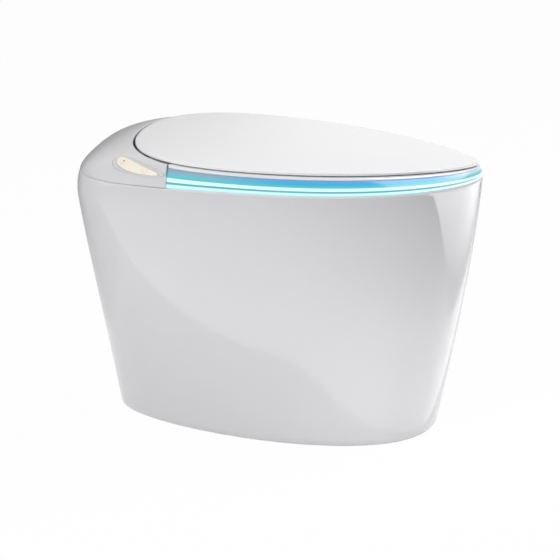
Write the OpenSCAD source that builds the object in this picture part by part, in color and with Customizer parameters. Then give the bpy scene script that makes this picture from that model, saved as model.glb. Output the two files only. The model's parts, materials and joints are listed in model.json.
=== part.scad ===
// Tankless smart toilet: a skirted one-piece pan of glazed ceramic, a heated seat
// with a lit band round its side, a soft-closing lid, and under the rear cover the
// wash, drying, flushing and control parts. Millimetres; front is +X, the user's
// left is +Y, +Z is up, and the origin is on the floor under the middle of the object.

/* [Pan] */
// Height of the ceramic rim above the floor
rim_z = 432; // [415:1:450]
// Half of the greatest width, at the rim
rim_half_w = 187.5; // [180:0.5:195]
// Distance from the middle to the nose of the rim
nose_x = 336.5; // [330:0.5:345]
// Distance from the middle to the rearmost point of the rim
rim_rear_x = 327.3; // [322:0.1:333]
// How far the rear of the skirt bulges past the rim
rear_tuck = 9.1; // [0:0.1:12]
// Half width of the foot on the floor
foot_half_w = 155.6; // [148:0.1:165]
// Distance from the middle to the front of the foot
foot_front_x = 267; // [255:0.5:280]
// Distance from the middle to the rear of the foot
foot_rear_x = 279.5; // [270:0.5:290]
// Exponent of the skirt's flare, from foot to rim
flare = 1.314; // [1.1:0.002:1.6]
// Wall of the skirt
skirt_t = 15; // [12:0.5:17]
// Thickness of the rim deck
deck_t = 22; // [18:0.5:24]
// Wall of the bowl
bowl_t = 11; // [9:0.5:12]
// Half width of the bowl opening
bowl_half_w = 137; // [130:0.5:140]
// Half length of the bowl opening
bowl_half_l = 190; // [184:0.5:193]
// Middle of the bowl opening, along the length
bowl_x = 94; // [90:0.5:97]
// Radius of the sump at the foot of the bowl
sump_r = 36; // [34:0.5:38]
// Radius of the passage of the trapway
trap_r = 26; // [24:0.5:27]
// Wall of the trapway
trap_t = 9; // [7:0.5:9]
// Radius of the trapway's bends, at the middle of the passage
trap_bend_r = 45; // [42:0.5:46]
// Width of the service opening at the rear left of the skirt
service_w = 60; // [45:1:64]
// Height of the service opening
service_h = 130; // [90:5:140]

/* [Lid and seat] */
// Distance from the middle to the rear end of the lid
lid_rear_x = 240; // [238:0.1:241]
// How far the lid's edge stands inside the rim
lid_inset = 8.5; // [7:0.1:10]
// Height of the lid's lower edge above the rim, over the middle of the object
lid_rise = 32.5; // [30.5:0.1:36]
// Fall of the lid towards the nose, per millimetre
lid_fall = 0.038; // [0.03:0.001:0.045]
// Height of the lid's visible edge
lid_edge = 4.6; // [4:0.1:4.8]
// Rise of the lid's crown above its edge
lid_crown = 4.8; // [2:0.1:7]
// Gap between lid and seat
lid_gap = 1.8; // [1.4:0.1:2.4]
// Plane where the seat ends and the rear cover begins, behind the middle
cut_x = 150.5; // [148:0.5:153]
// Gap between seat and rear cover
cut_gap = 1.6; // [1.2:0.1:2.5]
// Height of the gap between rim and seat
seat_lift = 1.2; // [1:0.1:2]
// Half width of the opening of the seat
open_half_w = 115; // [108:0.5:119]
// Half length of the opening of the seat
open_half_l = 157; // [150:0.5:160]
// Middle of the opening of the seat, along the length
open_x = 79.5; // [76:0.5:83]
// Depth of the light band, inwards from the side
band_depth = 12; // [10:0.5:14]

/* [Hinge] */
// Distance of the hinge line behind the middle
hinge_x = 215; // [213:0.1:217]
// Height of the hinge line above the lid's lower edge
hinge_up = 0.5; // [0.4:0.1:0.7]
// Radius of the hinge pins
pin_r = 1.7; // [1.5:0.1:1.8]
// Radius of the hinge eyes
eye_r = 3.3; // [3.2:0.1:3.4]
// Radius of the dampers
damper_r = 7.5; // [7:0.1:7.6]

/* [Rear cover] */
// Wall of the cover
cover_t = 3; // [2.5:0.1:3.5]
// Gap between the lid's edge and the cover
cover_gap = 4.5; // [4:0.1:6]
// Half width of the trough that the lid's tail swings into
trough_half_w = 129; // [127:1:131]

/* [Nozzle] */
// Tilt of the nozzle below the horizontal
nozzle_tilt = 12; // [10:0.5:13]
// Radius of the wand
wand_r = 8; // [7:0.1:8.5]
// Travel of the wand
wand_travel = 100; // [90:1:100]
// Teeth of the gear
gear_teeth = 16; // [16:1:18]

/* [Keys] */
// Length of the control plate
panel_l = 79; // [72:1:82]
// Width of the control plate
panel_w = 18; // [16.5:0.5:20]
// Radius of the flush key
flush_key_r = 5.5; // [4.5:0.1:6]
// Radius of the wash key
wash_key_r = 4.5; // [3.5:0.1:5]

/* [Hidden] */

lid_low_z = rim_z + lid_rise;
hinge_z = lid_low_z + lid_fall * hinge_x + hinge_up;
wand_l = wand_travel + 48;
// Module of the rack and its gear
gear_m = 1;
// Clearance between fixed pieces, and of a running fit
fit = 0.3;
run = 0.2;
$fn = 32;

// Outlines are pairs of cubic curves: pull of the end tangents, as shares of the span
rim_rear_pull = [0.755, 0.978];
rim_front_pull = [0.635, 0.452];
foot_rear_pull = [0.523, 0.406];
foot_front_pull = [0.656, 0.641];
lid_rear_pull = [0.669, 0.668];
lid_front_pull = [0.556, 0.268];
foot_mid_x = 59;
lid_mid_x = -53.3;
half_n = 12;

function bez(p, t) = pow(1 - t, 3) * p[0] + 3 * t * pow(1 - t, 2) * p[1]
    + 3 * t * t * (1 - t) * p[2] + pow(t, 3) * p[3];
function slope(p, t) = pow(1 - t, 2) * (p[1] - p[0]) + 2 * t * (1 - t) * (p[2] - p[1])
    + t * t * (p[3] - p[2]);
// Point of a half outline, moved inwards by d
function inset_pt(p, t, d) = let (s = slope(p, t)) bez(p, t) + d / norm(s) * [s[1], -s[0]];
function rear_curve(back, w, mid, pull) =
    [[-back, 0], [-back, pull[0] * w], [mid - pull[1] * (mid + back), w], [mid, w]];
function front_curve(front, w, mid, pull) =
    [[mid, w], [mid + pull[0] * (front - mid), w], [front, pull[1] * w], [front, 0]];
function solve_t(p, x, lo = 0, hi = 1, n = 24) = n == 0 ? (lo + hi) / 2
    : let (m = (lo + hi) / 2) bez(p, m)[0] < x ? solve_t(p, x, m, hi, n - 1) : solve_t(p, x, lo, m, n - 1);

rim_rear = rear_curve(rim_rear_x, rim_half_w, 0, rim_rear_pull);
rim_front = front_curve(nose_x, rim_half_w, 0, rim_front_pull);
foot_rear = rear_curve(foot_rear_x, foot_half_w, foot_mid_x, foot_rear_pull);
foot_front = front_curve(foot_front_x, foot_half_w, foot_mid_x, foot_front_pull);
lid_rear = rear_curve(lid_rear_x, rim_half_w - lid_inset, lid_mid_x, lid_rear_pull);
lid_front = front_curve(nose_x - lid_inset, rim_half_w - lid_inset, lid_mid_x, lid_front_pull);

// A half outline runs from the nose round the left side to the rear
function half(rear, front, d) = concat(
    [for (i = [0:half_n]) inset_pt(front, 1 - i / half_n, d)],
    [for (i = [1:half_n]) inset_pt(rear, 1 - i / half_n, d)]);
function ring(h) = concat(h, [for (i = [len(h) - 2:-1:1]) [h[i][0], -h[i][1]]]);
function lift(r, z) = [for (p = r) [p[0], p[1], z]];
function oval(cx, a, b) = [for (i = [0:4 * half_n - 1])
    [cx + a * cos(90 * i / half_n), b * sin(90 * i / half_n)]];
function mean(r) = [for (k = [0:2]) let (v = [for (p = r) p[k]]) v * [for (p = r) 1] / len(r)];
function mix(a, b, q) = a * (1 - q) + b * q;

// Solid skinned over rings of points, closed by fans, or joined end to end as a loop
module skin(rings, loop = false, flip = false) {
    n = len(rings[0]);
    m = len(rings);
    last = loop ? m - 1 : m - 2;
    pts = concat([for (r = rings) each r], loop ? [] : [mean(rings[0]), mean(rings[m - 1])]);
    sides = [for (j = [0:last], i = [0:n - 1])
        let (a = j * n + i, b = j * n + (i + 1) % n, c = ((j + 1) % m) * n + (i + 1) % n,
            d = ((j + 1) % m) * n + i)
        each [[a, d, c], [a, c, b]]];
    ends = loop ? [] : [for (i = [0:n - 1])
        each [[m * n, i, (i + 1) % n], [m * n + 1, (m - 1) * n + (i + 1) % n, (m - 1) * n + i]]];
    faces = concat(sides, ends);
    polyhedron(pts, flip ? [for (f = faces) [f[2], f[1], f[0]]] : faces, convexity = 8);
}

function rounded(w, h, r, n = 4) = [for (c = [[w / 2 - r, h / 2 - r, 0], [r - w / 2, h / 2 - r, 90],
    [r - w / 2, r - h / 2, 180], [w / 2 - r, r - h / 2, 270]], i = [0:n])
    [c[0] + r * cos(c[2] + 90 * i / n), c[1] + r * sin(c[2] + 90 * i / n)]];
// Box with rounded upright edges, standing on z = 0, from corner a to corner b in plan
module case(a, b, h, r) {
    translate([(a[0] + b[0]) / 2, (a[1] + b[1]) / 2, 0])
        linear_extrude(h)
            polygon(rounded(abs(b[0] - a[0]), abs(b[1] - a[1]), r));
}
module rod(from, to, r, fn = 32) {
    v = to - from;
    translate(from)
        rotate([0, acos(v[2] / norm(v)), atan2(v[1], v[0])])
            cylinder(h = norm(v), r = r, $fn = fn);
}
module both_sides() {
    children();
    mirror([0, 1, 0]) children();
}

// Pan
sump_x = bowl_x + 28.5;
sump_z = 72;
passage_z = 100;
tuck_from_z = 385;
deck_z = rim_z - deck_t;
// Steps of the bowl, from the rim down: height, middle, half length, half width
bowl_steps = [
    [rim_z - 27, bowl_x, bowl_half_l - 2, bowl_half_w - 1.5],
    [rim_z - 82, bowl_x + 0.5, bowl_half_l - 20, bowl_half_w - 14],
    [rim_z - 132, bowl_x + 6.5, bowl_half_l - 51, bowl_half_w - 32],
    [rim_z - 170, bowl_x + 16.5, bowl_half_l - 89, bowl_half_w - 53],
    [rim_z - 210, sump_x - 5.5, sump_r + 34, sump_r + 25],
    [rim_z - 250, sump_x - 1.5, sump_r + 9, sump_r + 9],
    [passage_z + 40, sump_x, sump_r + 1, sump_r + 1],
    [passage_z, sump_x, sump_r, sump_r]
];
function wall_half(z, d) = let (
    w = 1 - pow(1 - z / rim_z, flare),
    top = max(0, (z - tuck_from_z) / (rim_z - tuck_from_z)),
    rim = half(rim_rear, rim_front, d), foot = half(foot_rear, foot_front, d))
    [for (i = [0:2 * half_n]) mix(foot[i], rim[i], w)
        - [rear_tuck * w * (1 - top * top) * min(1, max(0, (-cut_x - rim[i][0]) / 150)), 0]];
function wall_ring(z, d) = lift(ring(wall_half(z, d)), z);
trap_rise_x = sump_x - 88;
trap_fall_x = trap_rise_x - 2 * trap_bend_r;
trap_low_z = passage_z + trap_bend_r;
trap_high_z = trap_low_z + 20;
outlet_z = 6;
gasket_top_z = 24;
jet_y = 75;
rim_inlet_z = rim_z - 44;
pipe_r = 8;
bolt_at = [[-172, 167], [-314.5, 40]];
bolt_r = 2.5;
lug_at = [-90, 92];
// Middle of the service opening: y and z
service_at = [44, 120];
nozzle_x = 97.5;
nozzle_z = rim_z - 50;
duct_y = [46, 72];
duct_z = [rim_z - 58, rim_z - 32];

// The water's way: back from the sump, up, over the weir, and down the outlet leg
module passage(r, from_x) {
    rod([trap_rise_x + trap_bend_r, 0, passage_z], [from_x, 0, passage_z], r, 48);
    translate([trap_rise_x + trap_bend_r, 0, trap_low_z]) rotate([90, 0, 0]) rotate([0, 0, 180])
        rotate_extrude(angle = 90, $fn = 48) translate([trap_bend_r, 0]) circle(r, $fn = 48);
    translate([trap_rise_x, 0, trap_low_z]) cylinder(h = trap_high_z - trap_low_z, r = r, $fn = 48);
    translate([trap_rise_x - trap_bend_r, 0, trap_high_z]) rotate([90, 0, 0])
        rotate_extrude(angle = 180, $fn = 48) translate([trap_bend_r, 0]) circle(r, $fn = 48);
}
module leg(r, z0, z1) {
    translate([trap_fall_x, 0, z0]) cylinder(h = z1 - z0, r = r, $fn = 48);
}
function bowl_out(g) = concat(
    [lift(oval(sump_x, sump_r + 2 + g, sump_r + 2 + g), sump_z - 12 - g)],
    [for (i = [len(bowl_steps) - 1:-1:0]) let (b = bowl_steps[i])
        lift(oval(b[1], b[2] + bowl_t + g, b[3] + bowl_t + g), b[0])]);
function bowl_edge(g, z) = lift(oval(bowl_x, bowl_half_l + bowl_t + g, bowl_half_w + bowl_t + g), z);
module skirt_body() {
    skin(concat(
        [bowl_edge(fit, deck_z)],
        [for (z = [deck_z, 330, 200, 80, 0]) wall_ring(z, skirt_t)],
        [wall_ring(0, 2)],
        [for (z = [3, 60, 130, 200, 270, 330, 372, 396, 414, rim_z - 3]) wall_ring(z, 0)],
        [wall_ring(rim_z - 0.8, 0.8), wall_ring(rim_z, 3), bowl_edge(fit, rim_z)]), loop = true);
}
module bowl_body() {
    skin(concat(bowl_out(0), [bowl_edge(0, deck_z), bowl_edge(0, rim_z)],
        [lift(oval(bowl_x, bowl_half_l + 2.5, bowl_half_w + 2.5), rim_z)],
        [lift(oval(bowl_x, bowl_half_l, bowl_half_w), rim_z - 3)],
        [for (b = bowl_steps) lift(oval(b[1], b[2], b[3]), b[0])],
        [lift(oval(sump_x, sump_r - 8, sump_r - 8), sump_z)]));
}
module rear_prism(d, x_max, z0, z1) {
    intersection() {
        translate([0, 0, z0]) linear_extrude(z1 - z0) polygon(ring(half(rim_rear, rim_front, d)));
        translate([-400, -250, z0 - 1]) cube([400 + x_max, 500, z1 - z0 + 2]);
    }
}
// Ways through deck and bowl for the nozzle, the warm air and the rim water
module rear_ways() {
    translate([-130, -25, nozzle_z - 22]) cube([60, 50, deck_z - 1 - nozzle_z + 22]);
    translate([-130, duct_y[0] - 2, duct_z[0] - 2])
        cube([75, duct_y[1] - duct_y[0] + 4, duct_z[1] - duct_z[0] + 4]);
    rod([-115, -jet_y, rim_inlet_z], [-50, -jet_y, rim_inlet_z], pipe_r);
}
module ceramic_pan() {
    color([0.93, 0.94, 0.95])
    difference() {
        union() {
            skirt_body();
            both_sides() linear_extrude(18)
                polygon([[-115, 72], [-65, 72], [-65, 128], [-115, 116]]);
        }
        rear_prism(20, -cut_x - 2.5, deck_z - 3, rim_z + 1);
        translate([-190, service_at[0], service_at[1]]) rotate([0, -90, 0])
            linear_extrude(150) polygon(rounded(service_h, service_w, 22));
        both_sides() {
            translate([lug_at[0], lug_at[1], -1]) cylinder(h = 20, r = 5);
            for (b = bolt_at) translate([b[0], b[1], deck_z - 1]) cylinder(h = deck_t + 2, r = bolt_r + fit);
        }
    }
}
module ceramic_bowl() {
    color([0.93, 0.94, 0.95])
    difference() {
        bowl_body();
        passage(trap_r, sump_x);
        rod([sump_x, -60, passage_z], [sump_x, -20, passage_z], pipe_r);
        rear_ways();
    }
}
module trapway() {
    color([0.93, 0.94, 0.95])
    difference() {
        passage(trap_r + trap_t, sump_x - sump_r - 1.5);
        skin(concat(bowl_out(fit), [bowl_edge(fit, deck_z)]));
        passage(trap_r, sump_x);
    }
}
module outlet_leg() {
    top = trap_high_z - fit;
    color([0.93, 0.94, 0.95])
    difference() {
        union() {
            leg(trap_r + trap_t, outlet_z, top);
            leg(58, gasket_top_z, gasket_top_z + 10);
        }
        leg(trap_r, outlet_z - 1, top + 1);
    }
}
module outlet_gasket() {
    color([0.2, 0.2, 0.21])
    translate([trap_fall_x, 0, 0]) rotate_extrude($fn = 48)
        polygon([[trap_r + trap_t + fit, 1], [54, 1], [57, 6], [57, gasket_top_z - 4],
            [54, gasket_top_z - fit], [trap_r + trap_t + fit, gasket_top_z - fit]]);
}
module screw(length, r, head_r, head_h) {
    translate([0, 0, -length]) cylinder(h = length, r = r);
    difference() {
        cylinder(h = head_h, r = head_r);
        translate([0, 0, head_h * 0.4]) cylinder(h = head_h, r = head_r * 0.5, $fn = 6);
    }
}
// Chassis of the rear unit
chassis_t = 3.5;
well_depth = 77;
well_floor_z = rim_z - well_depth;
tray_t = 3;
flange_x = -cut_x - 5;
module top_unit_chassis() {
    color([0.82, 0.83, 0.85])
    difference() {
        union() {
            rear_prism(5.5, flange_x, rim_z, rim_z + chassis_t);
            rear_prism(26, flange_x - 2, well_floor_z - tray_t, rim_z + chassis_t);
        }
        rear_prism(29, flange_x - 5, well_floor_z, rim_z + chassis_t + 1);
        translate([flange_x - 10, -18.5, well_floor_z]) cube([20, 37, rim_z - well_floor_z - 6]);
        translate([flange_x - 10, duct_y[0] - 1, duct_z[0] - 1])
            cube([20, duct_y[1] - duct_y[0] + 2, duct_z[1] - duct_z[0] + 2]);
        translate([valve_at[0], valve_at[1], well_floor_z - 5]) cylinder(h = 10, r = 7);
        translate([gland_at[0], gland_at[1], well_floor_z - 5]) cylinder(h = 10, r = 6);
        both_sides() for (b = bolt_at) translate([b[0], b[1], rim_z - 1]) cylinder(h = 8, r = bolt_r + fit);
    }
}
module chassis_bolts() {
    color([0.72, 0.73, 0.75])
    both_sides() for (b = bolt_at) translate([b[0], b[1], rim_z + chassis_t]) screw(24, bolt_r, 4.3, 2.6);
}

// Rear cover
cover_z = rim_z + 0.8;
cover_x = -cut_x - cut_gap / 2;
trough_z = rim_z + chassis_t + fit;
trough_t = 2.5;
lip_in = 0.4;
function lid_low(x) = lid_low_z - lid_fall * x;
function edge_z(x) = max(lid_low_z - 10 - 0.09 * x, cover_z + 8);
function cap_z(x) = lid_low(x) - 3.5;
// Shoulder of the cover, from the rim at w = 0 to the lid's edge at w = 90
function dome_half(w, d, top_d) = let (a = 1 - pow(cos(w), 1.25),
    low = half(rim_rear, rim_front, d), high = half(lid_rear, lid_front, top_d - cover_gap))
    [for (i = [0:2 * half_n]) mix(low[i], high[i], a)];
function dome_ring(w, d, top_d, top) = let (b = pow(sin(w), 1.284),
    high = ring(half(lid_rear, lid_front, top_d - cover_gap)), p = ring(dome_half(w, d, top_d)))
    [for (i = [0:len(p) - 1]) [p[i][0], p[i][1],
        cover_z + (top == "edge" ? edge_z(high[i][0]) - cover_z : cap_z(high[i][0]) - cover_t - cover_z) * b]];
function lip_ring(d, top) = [for (p = ring(half(lid_rear, lid_front, d - cover_gap)))
    [p[0], p[1], top == "edge" ? edge_z(p[0]) : cap_z(p[0])]];
module behind(x) {
    intersection() {
        children();
        translate([-400, -250, 300]) cube([400 + x, 500, 300]);
    }
}
// The trough under the lid's tail, a gap wider than the lid's outline
module trough(grow, z) {
    intersection() {
        translate([0, 0, z]) linear_extrude(80)
            polygon(ring(half(lid_rear, lid_front, lip_in - cover_gap - grow)));
        translate([-300, -trough_half_w - grow, z - 1]) cube([160, 2 * (trough_half_w + grow), 90]);
    }
}
// Point and outward direction on the shoulder, right side, at t along and w up
function dome_pt(t, w) = let (a = 1 - pow(cos(w), 1.25), b = pow(sin(w), 1.284),
    high = inset_pt(lid_rear, t, -cover_gap), p = mix(bez(rim_rear, t), high, a))
    [p[0], -p[1], cover_z + (edge_z(high[0]) - cover_z) * b];
function dome_dir(t, w) = let (n = cross(dome_pt(t + 0.01, w) - dome_pt(t - 0.01, w),
    dome_pt(t, w + 1) - dome_pt(t, w - 1))) n / norm(n) * sign(n[2]);
// Control plate: its middle on the shoulder, and the shoulder's length per unit of t and w
panel_at = [0.615, 51.3];
panel_turn = -67;
mm_per_t = 263;
mm_per_w = 0.9;
flush_at = [0.53, 58];
wash_at = [0.7, 46.2];
function panel_pt(f, k, grow) = let (u = cos(f), v = sin(f) * (1 + 0.15 * u),
    t = panel_at[0] + u * k * (panel_l / 2 + grow) / mm_per_t,
    w = panel_at[1] + panel_turn * u * k * panel_l / 2 / mm_per_t + v * k * (panel_w / 2 + grow) / mm_per_w)
    [t, w];
function panel_ring(k, grow, off, n = 24) = [for (i = [0:n - 1])
    let (q = panel_pt(360 * i / n, k, grow)) dome_pt(q[0], q[1]) + off * dome_dir(q[0], q[1])];
module panel_plate(grow, lo, hi) {
    skin([panel_ring(0.5, grow, lo), panel_ring(1, grow, lo), panel_ring(1, grow, hi),
        panel_ring(0.5, grow, hi)]);
}
module at_key(q) {
    n = dome_dir(q[0], q[1]);
    translate(dome_pt(q[0], q[1])) rotate([0, acos(n[2]), atan2(n[1], n[0])]) children();
}
module rear_cover() {
    color([0.95, 0.95, 0.96])
    difference() {
        union() {
            difference() {
                behind(cover_x)
                    skin(concat([for (w = [0, 14, 28, 42, 56, 70, 82, 90]) dome_ring(w, 0, 0, "edge")],
                        [lip_ring(lip_in, "edge"), lip_ring(lip_in + 0.1, "cap")]));
                difference() {
                    behind(cover_x - cover_t) translate([0, 0, -0.1])
                        skin([for (w = [0, 20, 40, 60, 78, 90]) dome_ring(w, cover_t, 5.2, "cap")]);
                    trough(cover_t, trough_z);
                }
            }
            intersection() {
                for (k = [[flush_at, flush_key_r], [wash_at, wash_key_r]])
                    at_key(k[0]) translate([0, 0, -11]) cylinder(h = 9.5, r = k[1] + 3.5);
                translate([-400, -170, 430]) cube([400 + cover_x - 1, 100, 100]);
            }
        }
        trough(0, trough_z + trough_t);
        panel_plate(5.3, -1.5 - 2 * fit, 6);
        for (k = [[flush_at, flush_key_r], [wash_at, wash_key_r]]) at_key(k[0]) {
            translate([0, 0, -12]) cylinder(h = 14, r = k[1] + fit);
            translate([0, 0, -12]) cylinder(h = 8.2, r = k[1] + 1.5);
        }
        both_sides() translate([screw_at[0], screw_at[1], trough_z - 1]) cylinder(h = 5, r = 2.2);
    }
}
screw_at = [-175, 100];
module cover_screws() {
    color([0.72, 0.73, 0.75])
    both_sides() translate([screw_at[0], screw_at[1], trough_z + trough_t]) screw(2.4, 2, 4, 2.4);
}
module control_bezel() {
    color([0.86, 0.87, 0.89])
    skin([panel_ring(1, 5, -1.5), panel_ring(1, 5, 0.1), panel_ring(1, fit, 0.4), panel_ring(1, fit, -1.5)],
        loop = true);
}
module control_panel() {
    color([0.96, 0.93, 0.87])
    difference() {
        panel_plate(0, -1.5, 0.6);
        for (k = [[flush_at, flush_key_r], [wash_at, wash_key_r]])
            at_key(k[0]) translate([0, 0, -5]) cylinder(h = 10, r = k[1] + fit);
    }
}
module push_key(q, r) {
    at_key(q) {
        translate([0, 0, -4.6]) cylinder(h = 5.4, r = r);
        translate([0, 0, -5.2]) cylinder(h = 1.1, r = r + 1);
        translate([0, 0, -7]) cylinder(h = 1.5, r = 2.5);
    }
}
module flush_key() {
    color([0.96, 0.93, 0.87]) push_key(flush_at, flush_key_r);
}
module wash_key() {
    color([0.96, 0.93, 0.87]) push_key(wash_at, wash_key_r);
}
module key_switches() {
    color([0.15, 0.16, 0.18])
    for (k = [[flush_at, flush_key_r], [wash_at, wash_key_r]])
        at_key(k[0]) {
            translate([0, 0, -11]) cylinder(h = 1.5, r = k[1] + 1.5 - fit);
            translate([0, 0, -9.5]) cylinder(h = 1, r = 2.2);
        }
}

// Hinges
// The hinge line lies in the lid's thickness, so the lid's tail turns down into the trough
// and its edge never reaches the cover. All that carries it comes from below in front.
hook_y = [[29, 34], [60, 65]];
eye_lid_y = [36, 46];
eye_seat_y = [48, 58];
pin_end_y = 66;
bush_t = 0.8;
damper_y = [70, 90];
damper_at = [9, 23.5];
hinge_floor_z = trough_z + trough_t;
// Round bar on a line parallel to the hinge line, forward and down from it
module across(y, r, dx = 0, dz = 0) {
    translate([-hinge_x + dx, y[0], hinge_z - dz]) rotate([-90, 0, 0]) cylinder(h = y[1] - y[0], r = r);
}
module plate(y, points) {
    translate([0, y[1], 0]) rotate([90, 0, 0]) linear_extrude(y[1] - y[0]) polygon(points);
}
module hinge_brackets() {
    color([0.8, 0.81, 0.83])
    both_sides() difference() {
        union() {
            translate([-hinge_x - 9, hook_y[0][0], hinge_floor_z]) cube([24, damper_y[1] - hook_y[0][0], 3]);
            for (y = hook_y) {
                plate(y, [[-hinge_x + 5, hinge_floor_z], [-hinge_x + 14, hinge_floor_z], [-hinge_x + 14, hinge_z - 12],
                    [-hinge_x + 2.6, hinge_z - 1.6], [-hinge_x + 0.6, hinge_z - eye_r], [-hinge_x + 5, hinge_z - 12]]);
                across(y, eye_r);
            }
            plate([damper_y[0], damper_y[1]], [[-hinge_x + damper_at[0] - 5, hinge_floor_z + 2],
                [-hinge_x + damper_at[0] + 5, hinge_floor_z + 2], [-hinge_x + damper_at[0] + 4, hinge_z - damper_at[1]],
                [-hinge_x + damper_at[0] - 4, hinge_z - damper_at[1]]]);
        }
        across([damper_y[0] - 1, damper_y[1] + 1], damper_r + 0.1, damper_at[0], damper_at[1]);
        across([hook_y[0][0] - 1, pin_end_y + 1], pin_r + 0.05);
    }
}
module damper() {
    across(damper_y, damper_r, damper_at[0], damper_at[1]);
    across([damper_y[0] - 3, damper_y[0] + 1], 3, damper_at[0], damper_at[1]);
}
module seat_damper() {
    color([0.3, 0.31, 0.33]) damper();
}
module lid_damper() {
    color([0.3, 0.31, 0.33]) mirror([0, 1, 0]) damper();
}
module hinge_pins() {
    color([0.78, 0.79, 0.81]) both_sides() across([hook_y[0][0], pin_end_y], pin_r);
}
module bush(y) {
    difference() {
        across([y[0] - 0.5, y[1] + 0.5], pin_r + bush_t);
        across([y[0] - 2, y[1] + 2], pin_r + run / 2);
    }
}
module seat_hinge_bushes() {
    color([0.9, 0.9, 0.88]) both_sides() bush(eye_seat_y);
}
module lid_hinge_bushes() {
    color([0.9, 0.9, 0.88]) both_sides() bush(eye_lid_y);
}
// Round channel in the lid for the eyes that do not belong to it
module eye_channel() {
    both_sides() {
        across([hook_y[0][0] - 1, eye_lid_y[0] - 0.7], eye_r + fit);
        across([eye_lid_y[1] + 0.7, pin_end_y + 1], eye_r + fit);
    }
}

// Water parts in the well
well_z = well_floor_z + fit;
valve_at = [-280, -58];
gland_at = [-280, 50];
// Radius of the G 1/2 water inlet
inlet_r = 10.45;
heater_x = [-250, -172];
heater_y = [-66, -26];
diverter_at = [-184, -0.485 * rim_half_w];
air_pump_at = [-227, 13 - 0.56 * rim_half_w];
filter_y = -0.72 * rim_half_w;
filter_t = 20;
hose_z = well_floor_z + 18;
module water_heater() {
    color([0.88, 0.88, 0.86])
    difference() {
        translate([0, 0, well_z]) union() {
            case([heater_x[0], heater_y[0]], [heater_x[1], heater_y[1]], 56, 8);
            for (y = heater_y) case([heater_x[0] + 4, y - 5], [heater_x[0] + 16, y + 5], 3, 2);
            for (x = [heater_x[0] + 14:12:heater_x[1] - 10])
                translate([x, heater_y[0] - 1, 8]) cube([3, heater_y[1] - heater_y[0] + 2, 40]);
        }
        rod([heater_x[0] - 1, valve_at[1], hose_z], [heater_x[0] + 8, valve_at[1], hose_z], 5);
        rod([diverter_at[0], heater_y[0] - 3, hose_z], [diverter_at[0], heater_y[0] + 8, hose_z], 5);
    }
}
module inlet_valve() {
    color([0.93, 0.93, 0.9])
    difference() {
        union() {
            translate([valve_at[0], valve_at[1], well_z]) {
                case([-13, -13], [13, 13], 30, 4);
                translate([0, 0, 30]) cylinder(h = 16, r = 10);
            }
            translate([valve_at[0], valve_at[1], well_z + 46]) cylinder(h = 3, r = 5);
        }
        translate([valve_at[0], valve_at[1], well_z - 1]) cylinder(h = 14, r = 7);
        rod([valve_at[0], valve_at[1], hose_z], [valve_at[0] + 14, valve_at[1], hose_z], 5);
    }
}
module supply_hose() {
    color([0.75, 0.76, 0.78])
    difference() {
        rod([valve_at[0] + 4, valve_at[1], hose_z], [heater_x[0] + 7, valve_at[1], hose_z], 4.8);
        rod([valve_at[0], valve_at[1], hose_z], [heater_x[0] + 9, valve_at[1], hose_z], 3.2);
    }
}
module heater_hose() {
    color([0.75, 0.76, 0.78])
    difference() {
        rod([diverter_at[0], diverter_at[1] + 6, hose_z], [diverter_at[0], heater_y[0] + 7, hose_z], 4.8);
        rod([diverter_at[0], diverter_at[1], hose_z], [diverter_at[0], heater_y[0] + 9, hose_z], 3.2);
    }
}
module diverter_valve() {
    color([0.86, 0.87, 0.85])
    difference() {
        translate([diverter_at[0], diverter_at[1], well_z]) {
            cylinder(h = 34, r = 13);
            translate([0, 0, 34]) cylinder(h = 20, r = 11);
            translate([0, 0, 54]) cylinder(h = 2, r = 4);
            for (a = [200:40:320]) rotate([0, 0, a]) rod([8, 0, 24], [19, 0, 24], 3.5);
        }
        rod([diverter_at[0], diverter_at[1], hose_z], [diverter_at[0], diverter_at[1] + 20, hose_z], 5);
    }
}
module air_pump() {
    color([0.25, 0.27, 0.3])
    translate([air_pump_at[0], air_pump_at[1], well_z]) {
        case([-19, -13], [19, 13], 26, 5);
        translate([0, 0, 26]) cylinder(h = 8, r = 11);
        translate([0, 0, 34]) cylinder(h = 6, r = 2.5);
    }
}
module deodorizer_filter() {
    color([0.35, 0.37, 0.36])
    translate([-186, filter_y, well_z]) difference() {
        case([-20, 0], [20, filter_t], 44, 5);
        for (x = [-14:8:14]) translate([x - 2, 4, 38]) cube([4, filter_t - 8, 8]);
    }
}
// The inlet's thread leans forward, so that the hose nut and its hose clear the skirt
inlet_tilt = 13;
module at_inlet() {
    translate([valve_at[0], valve_at[1], well_floor_z - tray_t - 8]) rotate([0, -inlet_tilt, 0]) children();
}
module inlet_fitting() {
    color([0.78, 0.8, 0.82])
    difference() {
        union() {
            translate([valve_at[0], valve_at[1], well_floor_z - tray_t - 9]) cylinder(h = 9 - fit, r = 9.5);
            at_inlet() {
                translate([0, 0, -34]) cylinder(h = 34, r = inlet_r);
                translate([0, 0, -12]) cylinder(h = 8, r = 15, $fn = 6);
            }
        }
        translate([valve_at[0], valve_at[1], well_floor_z - tray_t - 11]) cylinder(h = 12, r = 7);
        at_inlet() translate([0, 0, -35]) cylinder(h = 34, r = 7);
    }
}
module inlet_filter() {
    color([0.6, 0.62, 0.64])
    at_inlet() translate([0, 0, -31]) difference() {
        cylinder(h = 22, r = 6.8);
        translate([0, 0, 2]) cylinder(h = 21, r = 5.8);
    }
}
module power_gland() {
    color([0.2, 0.2, 0.22])
    translate([gland_at[0], gland_at[1], well_floor_z - tray_t]) difference() {
        union() {
            translate([0, 0, -8]) cylinder(h = 8 - fit, r = 10, $fn = 6);
            translate([0, 0, -20]) cylinder(h = 13, r = 7.5);
        }
        translate([0, 0, -21]) cylinder(h = 22, r = 4.2);
    }
}
psu_x = [-290, -250];
psu_y = [20, 74];
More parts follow.
